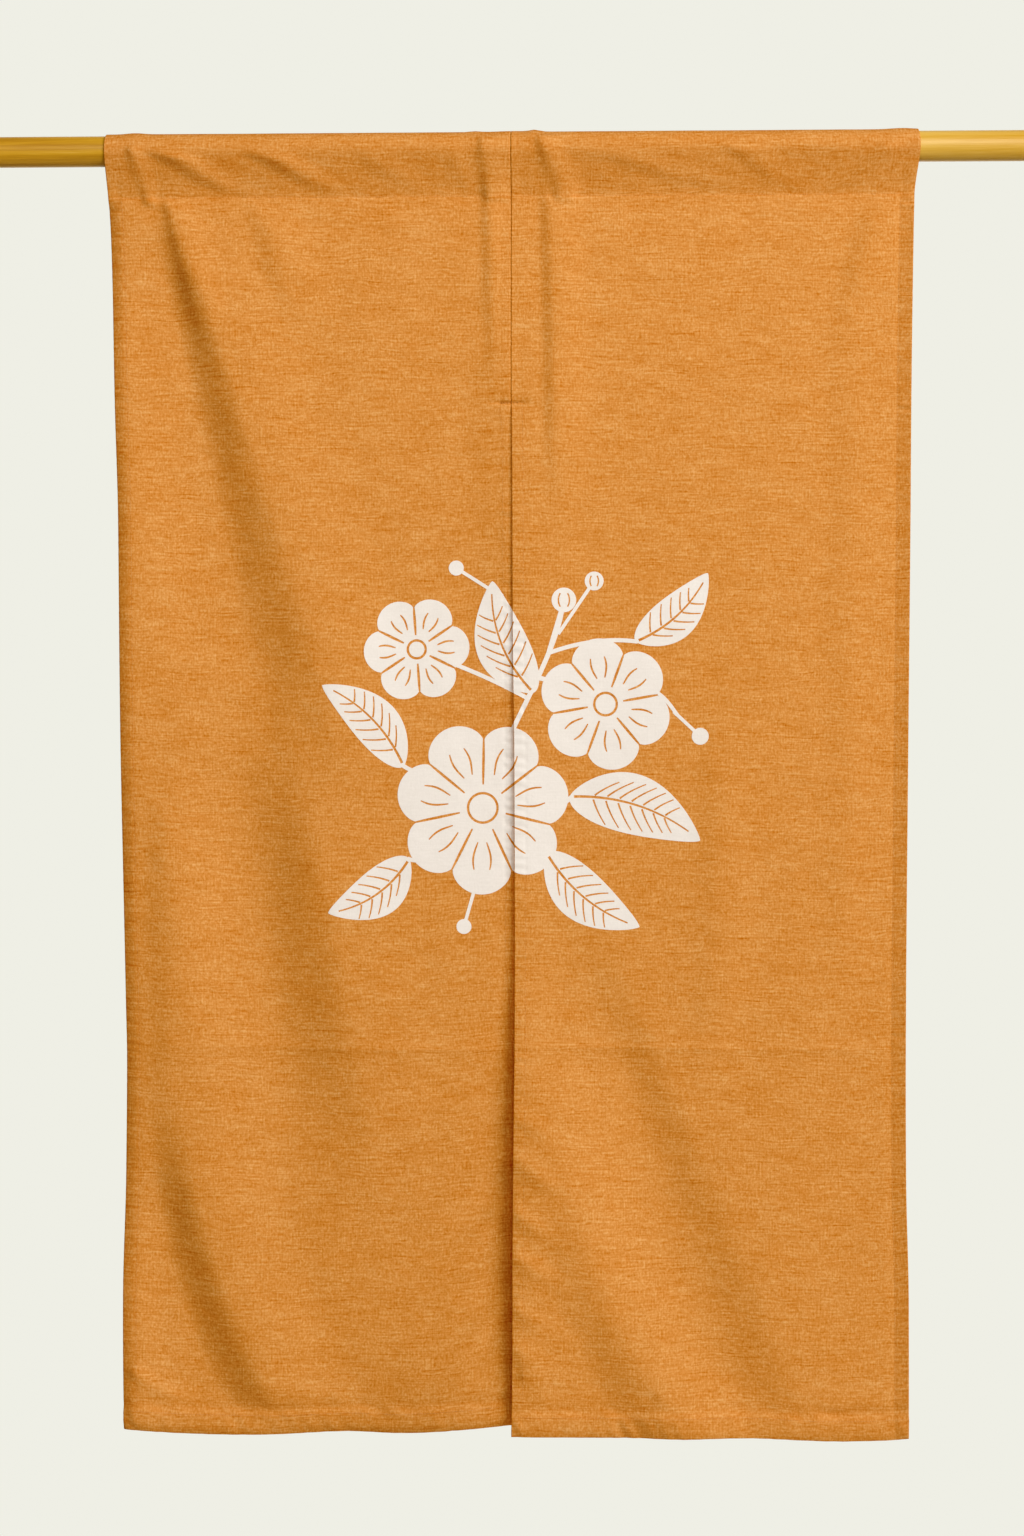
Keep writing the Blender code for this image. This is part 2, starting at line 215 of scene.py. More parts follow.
# The folds. Each is a ridge towards the viewer whose crest runs from (x1, z1) down to (x2, z2), bowed
# sideways by bow in the middle. Its steep side is on the left, flank wide, and falls by height and then by
# dip, into a trough. From the crest and from the trough the cloth comes back to its plane over beyond. At the
# lower end the flank is spread times as wide. rise and fade are the shares of its length in which it grows
# and dies out.
FOLD_COLUMNS = "x1 z1 x2 z2 bow height dip flank spread beyond rise fade"
LEFT_FOLDS = table(
    FOLD_COLUMNS,
    (-366, -44, -318, -215, 0, 2.8, 0.6, 11, 2.0, 40, 0.12, 0.5),
    (-360, -44, -143, -740, 5, 5.4, 7.6, 30, 3.2, 104, 0.18, 0.34),
    (-235, -560, -117, -1180, 0, 3, 11, 68, 1.4, 96, 0.34, 0.45),
    (-364, -640, -360, -1080, 0, 2, 1, 34, 1.0, 60, 0.3, 0.3),
    (-346, -980, -226, -1365, -29, 9, 5.4, 40, 1.6, 100, 0.4, 0.14),
    (-274, -40, -214, -210, 3, 3, 0, 24, 1.3, 50, 0.3, 0.6),
    (-24, -30, -14, -310, 0, 2.7, 0, 11, 1.3, 24, 0.06, 0.7),
)
RIGHT_FOLDS = table(
    FOLD_COLUMNS,
    (40, -30, 48, -410, 3, 3.2, 0, 14, 1.2, 44, 0.1, 0.4),
    (398, -40, 352, -210, -4, 3, 0, 26, 1.0, 40, 0.3, 0.6),
    (365, -90, 354, -950, 0, 1.4, 0, 34, 1.2, 40, 0.2, 0.2),
    (226, -560, 214, -1010, 0, 2, 0, 34, 1.0, 50, 0.4, 0.3),
    (72, -760, 327, -1370, 8, 1.8, 4.6, 44, 1.6, 110, 0.4, 0.1),
    (42, -900, 190, -1370, -40, 10, 0, 52, 1.3, 90, 0.95, 0.0),
)
POCKET_FOLDS = table(
    FOLD_COLUMNS,
    (-402, 6, -382, -62, -2, 2.6, 0, 7, 1.2, 16, 0.1, 0.15),
    (-370, 0, -288, -50, 0, 5.0, 0, 25, 1.0, 30, 0.2, 0.22),
    (-276, 2, -186, -50, 5, 4.8, 0, 28, 1.0, 34, 0.3, 0.22),
    (-150, -2, -92, -52, -3, 2.2, 0, 24, 1.0, 30, 0.3, 0.3),
    (-62, 4, -44, -52, 0, 1.6, 0, 16, 1.0, 12, 0.3, 0.3),
    (-31, 12, -23, -58, -1, 2.4, 0, 5, 1.6, 40, 0.05, 0.12),
    (31, 14, 62, -62, -3, 3.4, 0, 9, 1.8, 24, 0.08, 0.2),
    (84, 0, 240, -50, 0, 2.2, 0, 42, 1.0, 50, 0.3, 0.25),
    (232, 4, 300, -50, 0, 2.4, 0, 22, 1.0, 36, 0.2, 0.25),
    (404, 6, 340, -50, 2, 3.4, 0, 20, 1.0, 20, 0.2, 0.25),
)
FOLDS = LEFT_FOLDS + RIGHT_FOLDS + POCKET_FOLDS

BELL_COLUMNS = "x z height wide tall"
# The broad waves under those folds: how far the cloth stands forward around (x, z), and how widely it does
WAVES = table(
    BELL_COLUMNS,
    (-440, -520, 6.0, 60, 200),
    (-1, -380, 4.5, 32, 210),
    (1, -380, 4.5, 90, 210),
    (-440, -1250, 7.0, 60, 160),
    (-170, -1400, -16.0, 90, 90),
    (50, -1130, 9.5, 70, 220),
    (250, -600, 4.0, 150, 330),
    (415, -1000, -3.0, 70, 420),
)

# Where the cloth is bunched on the pole and stands off its crown
BUNCHES = table(
    "x height wide",
    (-398, 1.3, 12),
    (-38, 0.9, 7),
    (2, 0.8, 20),
    (25, 1.9, 7),
    (411, 1.2, 16),
)

# The drag lines that run from the slit's hems and the corners into each panel: soft ridges, or hollows where
# height is less than nothing, from (x1, z1) to (x2, z2)
DRAG_LINES = table(
    "x1 z1 x2 z2 height wide",
    (-6, -1012, -72, -1066, 2.0, 9),
    (-6, -1062, -84, -1128, 2.9, 10),
    (-6, -1118, -66, -1180, 3.2, 10),
    (-6, -1170, -92, -1232, 2.7, 11),
    (-6, -1222, -70, -1292, 3.2, 10),
    (-6, -1276, -96, -1332, 2.9, 12),
    (-4, -1306, -52, -1346, 3.0, 8),
    (-400, -1300, -356, -1336, 2.8, 7),
    (-372, -1318, -320, -1340, 1.5, 6),
    (-186, -1322, -176, -1346, 2.0, 8),
    (6, -1022, 62, -1052, 2.2, 9),
    (6, -1068, 76, -1118, 2.9, 10),
    (6, -1124, 58, -1166, 2.9, 9),
    (6, -1172, 74, -1216, 3.1, 10),
    (6, -1226, 52, -1262, 2.5, 9),
    (6, -1270, 68, -1322, 2.9, 11),
    (16, -1296, 50, -1346, 2.6, 7),
    (336, -1340, 424, -1334, -2.8, 6),
    (150, -1322, 112, -1348, -2.2, 8),
)

# The creases left by the packing, across both panels: sharp ridges that stand forward by height
PACKING_CREASES = table(
    BELL_COLUMNS,
    (-262, -951, 1.1, 80, 9.0),
    (-100, -953, 2.3, 110, 8.0),
    (110, -949.5, 1.8, 90, 7.0),
    (290, -951, 1.6, 110, 7.0),
)
# The bar tack pulls the cloth back at the slit's top
TACK_PULLS = table(
    BELL_COLUMNS,
    (-4, -268, -1.2, 15, 5.0),
    (4, -268, -1.2, 15, 5.0),
)


# ---------------------------------------------------------------- the cloth's surface


def eased(share):
    """share, held between 0 and 1, with a soft start and a soft end."""
    share = np.clip(share, 0, 1)
    return share**2 * (3 - 2 * share)


def ending(distance, over):
    """1 up to distance 0, and then falling softly to 0 over this length."""
    return 1 - eased(distance / over)


def bell(distance, wide):
    """exp(-(distance / wide) ** 2): 1 at distance 0, with a soft fall on both sides."""
    return np.exp(-((distance / wide) ** 2))


def smooth_through(at, places, values):
    """A smooth curve through (places, values) that never overshoots them, read at the array at."""
    step = np.diff(places)
    rise = np.diff(values) / step
    slopes = np.concatenate([rise[:1], np.zeros(len(rise) - 1), rise[-1:]])
    turns = rise[:-1] * rise[1:] <= 0
    both = np.where(turns, 1.0, rise[:-1] + rise[1:])
    slopes[1:-1] = np.where(turns, 0.0, 2 * rise[:-1] * rise[1:] / both)
    i = np.clip(np.searchsorted(places, at) - 1, 0, len(step) - 1)
    t = np.clip((at - places[i]) / step[i], 0, 1)
    from_start = eased(1 - t) * values[i] + t * (1 - t) ** 2 * step[i] * slopes[i]
    to_end = eased(t) * values[i + 1] - t**2 * (1 - t) * step[i] * slopes[i + 1]
    return from_start + to_end


def read_table(rows, place, value, at):
    """The smooth curve through two of a table's columns, read at the array at, in metres."""
    rows = sorted(rows, key=lambda row: row[place])
    places, values = (np.array([row[key] for row in rows]) * MM for key in (place, value))
    return smooth_through(at, places, values)


def sign_of(side):
    return -1 if side == "left" else 1


def crest_of(fold, z):
    """Where a fold's crest is at z, how far the fold has grown there, from 0 to 1, and its flank's width."""
    along = np.clip((z - fold["z1"] * MM) / ((fold["z2"] - fold["z1"]) * MM), 0, 1)
    straight = fold["x1"] + (fold["x2"] - fold["x1"]) * along
    crest = (straight + fold["bow"] * 4 * along * (1 - along)) * MM
    left_of_it = (1 - along) / fold["fade"] if fold["fade"] else 1.0
    flank = fold["flank"] * MM * (1 + (fold["spread"] - 1) * along)
    return crest, eased(along / fold["rise"]) * eased(left_of_it), flank


def fold_height(x, z, fold):
    """How far one fold stands forward at (x, z): a ridge with a steep flank and a trough on its left."""
    crest, grown, flank = crest_of(fold, z)
    off = x - crest
    height, dip, beyond = (fold[key] * MM for key in ("height", "dip", "beyond"))
    right_side = height * ending(off, beyond)
    steep_side = height - (height + dip) * eased(-off / flank)
    trough_side = -dip * ending(-off - flank, beyond)
    profile = np.where(off > 0, right_side, np.where(off > -flank, steep_side, trough_side))
    return profile * grown


def bell_height(x, z, bell):
    """How far one wave or crease stands forward at (x, z): a bell in both directions."""
    across = (x - bell["x"] * MM) / (bell["wide"] * MM)
    down = (z - bell["z"] * MM) / (bell["tall"] * MM)
    return bell["height"] * MM * np.exp(-(across**2) - down**2)


def crease_height(x, z, crease):
    """How far a packing crease stands forward at (x, z): sharp up and down, and soft sideways."""
    across = (x - crease["x"] * MM) / (crease["wide"] * MM)
    down = np.hypot(z - crease["z"] * MM, CREASE_ROUND) - CREASE_ROUND
    return crease["height"] * MM * np.exp(-(across**2) - down / (crease["tall"] * MM))


def relief(x, z, side):
    """How far a panel's front stands forward of its hanging plane at (x, z), without its small creases.

    It is the sum of the folds, the waves and the slit edge's own bending. Where the panels are sewn together,
    the folds of one reach the other, and below the slit's top they soon don't.
    """
    sign = sign_of(side)
    sewn = eased(1 + (z + SEAM_DROP) / SLIT_FREEDOM)
    own = sum(fold_height(x, z, fold) for fold in FOLDS if fold["x1"] * sign > 0)
    own += sum(bell_height(x, z, wave) for wave in WAVES if wave["x"] * sign > 0)
    others = sum(fold_height(x, z, fold) for fold in FOLDS if fold["x1"] * sign < 0)
    slit = "right_front" if side == "right" else "left_back"
    bending = sign * read_table(INNER_EDGES, "z", slit, z) * bell(x, SLIT_CURL)
    if side == "left":
        hidden = eased((x - RETURN_START) / RETURN_WIDE)
        bending = bending + read_table(INNER_EDGES, "z", "left_return", z) * hidden
    return own + sewn * others + bending


def drag_height(x, z, line):
    """A soft ridge along the line from (x1, z1) to (x2, z2), dying out towards its far end."""
    start, end = (np.array([line[f"x{i}"], line[f"z{i}"]]) * MM for i in (1, 2))
    length = np.hypot(*(end - start))
    ahead = (end - start) / length
    along = (x - start[0]) * ahead[0] + (z - start[1]) * ahead[1]
    across = (z - start[1]) * ahead[0] - (x - start[0]) * ahead[1]
    grown = eased(along / length * 5 + 1) * ending(along, length)
    return line["height"] * MM * grown * bell(across, line["wide"] * MM)


def cockles(along, kind, side=None):
    """Small waves along a sewn line, uneven as gathered stitches make them: five sines of nearby lengths.

    kind is their height, their spacing and a random seed, which differs between the panels if side is given.
    """
    height, spacing, seed = kind
    random = np.random.default_rng(seed + (sign_of(side) if side else 0))
    waves = 0
    for share in (0.74, 0.9, 1.0, 1.17, 1.5):
        waves = waves + np.sin(2 * math.pi * along / (spacing * MM * share) + random.uniform(0, 2 * math.pi))
    return height * MM * waves / 3


def rumple(x, z):
    """The slight unevenness of hung cloth: waves of 22 to 110 mm in all directions, about 0.05 mm high."""
    random = np.random.default_rng(RUMPLE_SEED)
    uneven = 0
    for length in np.geomspace(22, 110, 26) * MM:
        turn, start = random.uniform(0, 2 * math.pi, 2)
        height = 0.05 * MM * (length / (60 * MM)) ** 0.8
        ahead = x * math.cos(turn) + z * math.sin(turn)
        uneven = uneven + height * np.sin(2 * math.pi / length * ahead + start)
    return uneven


def edges_at(z, side):
    """How far a panel's inner and outer edges are from the middle at the heights z."""
    inner = read_table(INNER_EDGES, "z", side, z)
    outer = CURTAIN_WIDTH / 2 - read_table(OUTER_EDGES, "z", side, z)
    return inner, outer


def bottom_at(x, side):
    """z of a panel's bottom edge at x."""
    return read_table(BOTTOM_EDGES[side], "x", "lift", np.abs(x)) - CURTAIN_DROP


def groove(distance, size):
    """A line of stitches draws the cloth in: a soft groove of this depth and width at distance 0."""
    deep, wide = size
    return -deep * MM * bell(distance, wide * MM)


def creases(x, z, side):
    """A panel's small shapes: packing creases, drag lines, stitched grooves, rolled and cockled hems."""
    inner, outer = edges_at(z, side)
    sign = sign_of(side)
    from_inner, from_outer = sign * x - inner, outer - sign * x
    from_bottom = z - bottom_at(x, side)
    from_pocket = z + POCKET_DROP
    from_slit_top = z + SEAM_DROP
    open_slit = eased(-from_slit_top / OPENING)
    below_pocket = eased(-from_pocket / BELOW_POCKET)

    small = sum(crease_height(x, z, crease) for crease in PACKING_CREASES if crease["x"] * sign > 0)
    small += sum(bell_height(x, z, pull) for pull in TACK_PULLS if pull["x"] * sign > 0)
    small += sum(drag_height(x, z, line) for line in DRAG_LINES if line["x1"] * sign > 0)
    small += rumple(x, z) * eased(from_outer / RUMPLE_FREE)

    small += groove(from_pocket, POCKET_GROOVE)
    small += groove(from_outer - SIDE_HEM, SIDE_GROOVE) * below_pocket
    small += groove(from_inner - SLIT_HEM, SLIT_GROOVE) * open_slit
    small += groove(from_inner, SEAM_GROOVES[side]) * (1 - open_slit)
    stand_top = BOTTOM_HEM + STAND_ABOVE + cockles(x, STAND_COCKLES, side)
    small += BOTTOM_STAND * eased((stand_top - from_bottom) / STAND_TALL)
    small += groove(from_bottom - stand_top - STAND_TALL / 2, BOTTOM_GROOVE)
    small += groove(from_slit_top - TACK_RISE, TACK_GROOVE) * ending(np.abs(x) - SLIT_HEM, TACK_ENDS)

    small -= EDGE_ROLLS[side] * MM * np.clip(1 - from_outer / SIDE_HEM, 0, 1) ** 2 * below_pocket
    small -= BOTTOM_ROLLS[side] * MM * np.clip(1 - from_bottom / BOTTOM_ROLL_TALL, 0, 1) ** 2

    in_side_hem = ending(from_outer - SIDE_HEM + HEM_FADE, SIDE_FADE_OVER)
    in_slit_hem = ending(from_inner - SLIT_HEM + HEM_FADE, HEM_FADE_OVER)
    in_bottom_hem = ending(from_bottom - BOTTOM_HEM + HEM_FADE, HEM_FADE_OVER)
    slit_free = open_slit * eased(-from_slit_top / SLIT_COCKLES_FROM)
    small += cockles(z, SIDE_COCKLES, side) * in_side_hem * below_pocket
    small += cockles(z, SLIT_COCKLES, side) * in_slit_hem * slit_free
    small += cockles(x + from_bottom / 2, BOTTOM_COCKLES, side) * in_bottom_hem
    small += cockles(x, POCKET_COCKLES) * bell(from_pocket, HEM_FADE_OVER)
    return small


def front_of(x, z, side):
    """y of a panel's front at (x, z), below the pocket seam."""
    return -PINCH - relief(x, z, side) - creases(x, z, side)


def off_the_crown(x):
    """How far the cloth stands off the pole's crown at x: a bell for each bunch."""
    return sum(bunch["height"] * MM * bell(x - bunch["x"] * MM, bunch["wide"] * MM) for bunch in BUNCHES)


def crowded(places, crowd, count):
    """count of the places, as close together along them as crowd says: equal steps of crowd's integral."""
    passed = np.concatenate([[0], np.cumsum((crowd[1:] + crowd[:-1]) / 2)])
    return np.interp(np.linspace(0, passed[-1], count), passed, places)


def across_panel(z, side):
    """x of every column at each of the heights z, from the panel's inner edge to its outer one.

    The hems keep their widths, and between them the columns crowd along the crests of the folds.
    """
    outer_hem = np.concatenate([EDGE_COLUMNS, SIDE_HEM - OUTER_HEM_STEP * np.arange(3)[::-1]])
    sign = sign_of(side)
    rows = []
    for height, start, end in zip(z, *edges_at(z, side)):
        first, last = start + SLIT_HEM, end - SIDE_HEM - HEM_STEP
        places = np.linspace(first, last, CROWD_SAMPLES)
        crowd = np.ones(CROWD_SAMPLES)
        for fold in FOLDS:
            crest, grown, flank = crest_of(fold, height)
            off = sign * places - crest + flank / 2
            crowd += COLUMNS_CROWDING * grown * bell(off, CROWD_WIDTH + flank / 4)
        middle = crowded(places, crowd, MIDDLE_COLUMNS)
        rows.append([*(start + EDGE_COLUMNS), *middle, *(end - outer_hem[::-1])])
    return sign * np.array(rows)


def pocket_slope():
    """The cloth from the pole down to the pocket seam, behind it: a cubic curve that ends upright.

    A row is y and z, then the outward direction's y and z.
    """
    across, down = math.cos(POCKET_WRAP), math.sin(POCKET_WRAP)
    touch = POCKET_RADIUS * np.array([across, -down])
    seam = np.array([PINCH, -POCKET_DROP])
    leaving = touch - np.array([down, across]) * np.linalg.norm(touch - seam) / 2
    turn = seam + [0, SEAM_TURN]
    t = np.linspace(0, 1, SLOPE_ROWS + 1)[:, None]
    curve = (1 - t) ** 3 * touch + 3 * t * (1 - t) ** 2 * leaving + 3 * t**2 * (1 - t) * turn + t**3 * seam
    ahead = np.gradient(curve, axis=0)
    ahead /= np.linalg.norm(ahead, axis=1, keepdims=True)
    return np.concatenate([curve, -ahead[:, 1:], ahead[:, :1]], axis=1)


def pocket_section():
    """The pocket's cross-section, from its tail up behind the pole, over it and down to the seam in front.

    A row is y and z, then the outward direction's y and z, and then how much the row takes of the relief at
    the seam, of the relief in front and of the bunching on the crown.
    """
    rows = [(PINCH, -POCKET_DROP - TAIL, 1, 0, -1, 0, 0)]
    slope = pocket_slope()
    shares = np.linspace(0, 1, SLOPE_ROWS + 1)
    for (y, z, out_y, out_z), share in list(zip(slope, shares))[:0:-1]:
        rows.append((y, z, out_y, out_z, -share, 0, 0))
    for angle in np.linspace(-POCKET_WRAP, math.pi + POCKET_WRAP, ARC_ROWS + 1):
        y, z = math.cos(angle), math.sin(angle)
        rows.append((POCKET_RADIUS * y, POCKET_RADIUS * z, y, z, 0, max(0, -y), max(0, z)))
    for (y, z, out_y, out_z), share in list(zip(slope, shares))[1:]:
        rows.append((-y, z, -out_y, out_z, share, 1 - share, 0))
    return np.array(rows)


def body_shares():
    """How far down the body each of its rows is, from 0 to 1: closer together where small shapes cross it."""
    places = np.linspace(0, 1, ROW_SAMPLES)
    z = -POCKET_DROP - places * (CURTAIN_DROP - BOTTOM_HEM - POCKET_DROP)
    crowd = np.ones(len(places))
    for height in (-POCKET_DROP, -SEAM_DROP, PACKING_CREASES[1]["z"] * MM):
        crowd += ROWS_CROWDING * bell(z - height, ROWS_CROWD_TALL)
    return crowded(places, crowd, BODY_ROWS)


def panel_surface(side):
    """The outer face of one panel, an array of points with a row for each step along the cloth."""
    section = pocket_section()
    y, z, out_y, out_z, from_seam, from_front, from_crown = (column[:, None] for column in section.T)
    x = across_panel(section[:, 1], side)
    seam_z = np.minimum(z, -POCKET_DROP)
    at_seam = relief(x, seam_z, side) + creases(x, seam_z + 0 * x, side)
    in_front = np.maximum(relief(x, z, side), 0) + creases(x, z + 0 * x, side)
    # the stitches draw in the cloth on both sides of the pocket
    lift = from_seam * (at_seam + POCKET_GROOVE[0] * MM)
    lift = lift + np.sign(from_seam) * groove(z + POCKET_DROP, POCKET_GROOVE)
    lift = lift + from_front * in_front + from_crown * off_the_crown(x)
    pocket = np.stack([x, y + out_y * lift, z + out_z * lift * (from_seam == 0)], axis=-1)

    # level rows down to the bottom hem, the last of which take up its slant, and then rows along its edge
    x = across_panel(np.array([-CURTAIN_DROP]), side)
    bottom = bottom_at(x, side)
    share = body_shares()[:-1, None]
    start, end = -POCKET_DROP - BODY_START, bottom.mean() + BOTTOM_HEM
    above_hem = start + share * (end - start) + share**8 * (bottom - bottom.mean())
    z = np.concatenate([above_hem, bottom + EDGE_ROWS[::-1, None]])
    x = across_panel(z.mean(axis=1), side)
    body = np.stack([x, front_of(x, z, side), z], axis=-1)
    return np.concatenate([pocket, body])


# ---------------------------------------------------------------- meshes


def mesh_object(name, points, faces, material, flat=None, **values):
    """A smooth object of points and faces, with its flat cloth's places and other values at its points."""
    mesh = bpy.data.meshes.new(name)
    mesh.vertices.add(len(points))
    mesh.vertices.foreach_set("co", np.ascontiguousarray(points, dtype=np.float32).ravel())
    mesh.loops.add(faces.size)
    mesh.loops.foreach_set("vertex_index", faces.ravel().astype(np.int32))
    mesh.polygons.add(len(faces))
    mesh.polygons.foreach_set("loop_start", np.arange(0, faces.size, faces.shape[1], dtype=np.int32))
    mesh.update(calc_edges=True)
    mesh.validate()
    mesh.shade_smooth()
    if flat is not None:
        uv = mesh.uv_layers.new(name="flat_cloth")
        uv.uv.foreach_set("vector", flat[faces.ravel()].astype(np.float32).ravel())
    for key, value in values.items():
        mesh.attributes.new(key, "FLOAT", "POINT").data.foreach_set("value", value.astype(np.float32))
    mesh.materials.append(material)
    made = bpy.data.objects.new(name, mesh)
    bpy.context.scene.collection.objects.link(made)
    return made


def grid_faces(rows, columns):
    """The four corners of every face of a grid whose points are numbered row by row."""
    index = np.arange(rows * columns).reshape(rows, columns)
    corners = (index[:-1, :-1], index[1:, :-1], index[1:, 1:], index[:-1, 1:])
    return np.stack([corner.ravel() for corner in corners], axis=1)


def round_the_rim(rows, columns):
    """The points of a grid's border in order, down the first column and on round the grid."""
    index = np.arange(rows * columns).reshape(rows, columns)
    return np.concatenate([index[:, 0], index[-1, 1:], index[-2::-1, -1], index[0, -2:0:-1]])


def outward(points):
    """The unit normal at each point of a grid, from the differences along its rows and columns."""
    down, along = np.gradient(points, axis=0), np.gradient(points, axis=1)
    normal = np.cross(down, along)
    return normal / np.linalg.norm(normal, axis=-1, keepdims=True)


def cloth_sheet(name, front, thickness, rounding, flat, material, **values):
    """A closed sheet behind the grid of points front, with round edges.

    The back is thickness behind the front along the normal. rounding, from 0 to 1, draws both faces to the
    middle of the cloth.
    """
    rows, columns = front.shape[:2]
    normal = outward(front)
    drawn = (thickness / 2 * rounding)[..., None]
    back = front - normal * (thickness[..., None] - drawn)
    front = front - normal * drawn
    faces = grid_faces(rows, columns)
    rim = round_the_rim(rows, columns)
    after = np.roll(rim, -1)
    count = rows * columns
    sides = np.stack([rim, rim + count, after + count, after], axis=1)
    points = np.concatenate([front.reshape(-1, 3), back.reshape(-1, 3)])
    all_faces = np.concatenate([faces, faces[:, ::-1] + count, sides])
    both = {key: np.tile(value.ravel(), 2) for key, value in values.items()}
    return mesh_object(name, points, all_faces, material, np.tile(flat.reshape(-1, 2), (2, 1)), **both)


def cloth_panel(side, material):
    """One panel of the curtain, from the pocket's tail to the bottom hem.

    Its painted shade value says how much darker its colour is painted, for the light from behind that doubled
    cloth lets through less: most in the side hems, less in the other hems, in the pocket and over the seam's
    spare cloth.
    """
    front = panel_surface(side)
    if side == "left":
        front = front[:, ::-1]
    x, z = front[..., 0], front[..., 2]
    inner, outer = edges_at(z, side)
    from_inner, from_outer = sign_of(side) * x - inner, outer - sign_of(side) * x

    section = pocket_section()
    steps = np.hypot(*np.diff(section[:, :2], axis=0).T)
    around_pocket = np.concatenate([[0], np.cumsum(steps)])[:, None] + 0 * x[: len(section)]
    down = (z + POCKET_DROP) / (bottom_at(x, side) + POCKET_DROP) * (CURTAIN_DROP - POCKET_DROP)
    from_tail = np.concatenate([around_pocket, (around_pocket[-1] + down)[len(section) :]])
    across = sign_of(side) * from_inner / (outer - inner) * CURTAIN_WIDTH / 2
    flat = np.stack([across, -from_tail], axis=-1)

    in_body = np.arange(len(z))[:, None] >= len(section)
    from_bottom = np.where(in_body, z - bottom_at(x, side), 1)
    side_hem = in_body & (from_outer < SIDE_HEM + JUST_PAST)
    slit_hem = (from_inner < SLIT_HEM + JUST_PAST) & (z < -SEAM_DROP)
    bottom_hem = from_bottom < BOTTOM_HEM + JUST_PAST
    doubled = in_body & (side_hem | slit_hem | bottom_hem)
    spare = in_body & (from_inner < SEAM_ALLOWANCE) & (z >= -SEAM_DROP) & (side == "left")
    thickness = np.where(doubled, HEM_THICKNESS, CLOTH_THICKNESS)
    kinds = [PAINTED_LAYER_SHADE[kind] for kind in ("spare cloth", "side hem", "hem", "single")]
    # Painted shade: the hems, the pocket and the cloth over the spare cloth get a darker colour, for the
    # light from behind that passes through less there.
    layers = np.select([spare, side_hem, doubled, in_body], kinds, PAINTED_LAYER_SHADE["pocket"])

    from_edge = np.minimum(np.minimum(from_inner, from_outer), np.minimum(from_bottom, from_tail))
    inward = np.clip(from_edge / (thickness * EDGE_ROUNDS), 0, 1)
    rounding = EDGE_ROUND * (1 - np.sqrt(1 - (1 - inward) ** 2))
    return cloth_sheet(f"cloth_panel_{side}", front, thickness, rounding, flat, material, layers=layers)


def seam_allowance(material):
    """The panels' spare cloth behind the centre seam: a strip pressed to the left, that closes the seam.

    It lies behind both panels' fronts by the thickness of a hem and a little more, and by the pocket's tail
    too where it starts.
    """
    z = np.linspace(-POCKET_DROP - 1 * MM, -SEAM_DROP - ALLOWANCE_BEYOND, ALLOWANCE_ROWS)[:, None]
    x = np.linspace(-SEAM_ALLOWANCE, SEAM_LAP, ALLOWANCE_COLUMNS)[None] + 0 * z
    fronts = [front_of(x, z, "left"), front_of(x, z, "right"), front_of(0 * x, z, "left")]
    beside_tail = eased((z + POCKET_DROP + TAIL + 3 * MM) / (2 * MM))
    y = np.maximum.reduce(fronts) + HEM_THICKNESS + LAYER_GAP / 2 + CLOTH_THICKNESS * beside_tail
    strip = np.stack([x, y, z + 0 * x], axis=-1)
    flat = np.stack([x, z + 0 * x], axis=-1)
    # Painted shade: the strip's colour is painted as dark as the spare cloth's value says.
    values = (CLOTH_THICKNESS, 0.0, PAINTED_LAYER_SHADE["spare cloth"])
    thick, sharp, layers = (np.full(x.shape, value) for value in values)
    return cloth_sheet("seam_allowance", strip, thick, sharp, flat, material, layers=layers)


def stitch_line(path, length, gap):
    """The starts and the ends of stitches along a path, which is an array of points close together."""
    steps = np.linalg.norm(np.diff(path, axis=0), axis=1)
    passed = np.concatenate([[0], np.cumsum(steps)])
    starts = np.arange(gap, passed[-1] - length, length + gap)
    return [
        np.stack([np.interp(at, passed, path[:, i]) for i in range(3)], axis=1)
        for at in (starts, starts + length)
    ]


THREAD_RADIUS = 0.00022
STITCH_LENGTH = 0.0027
STITCH_GAP = 0.0007
# A stitch's rings: how far along it each is, its radius, and how far it stands off the cloth
STITCH_RINGS = table(
    "along radius off",
    (0.0, 0.35, -0.9),
    (0.12, 0.85, 0.1),
    (0.5, 1.0, 0.55),
    (0.88, 0.85, 0.1),
    (1.0, 0.35, -0.9),
)
RING_POINTS = 6


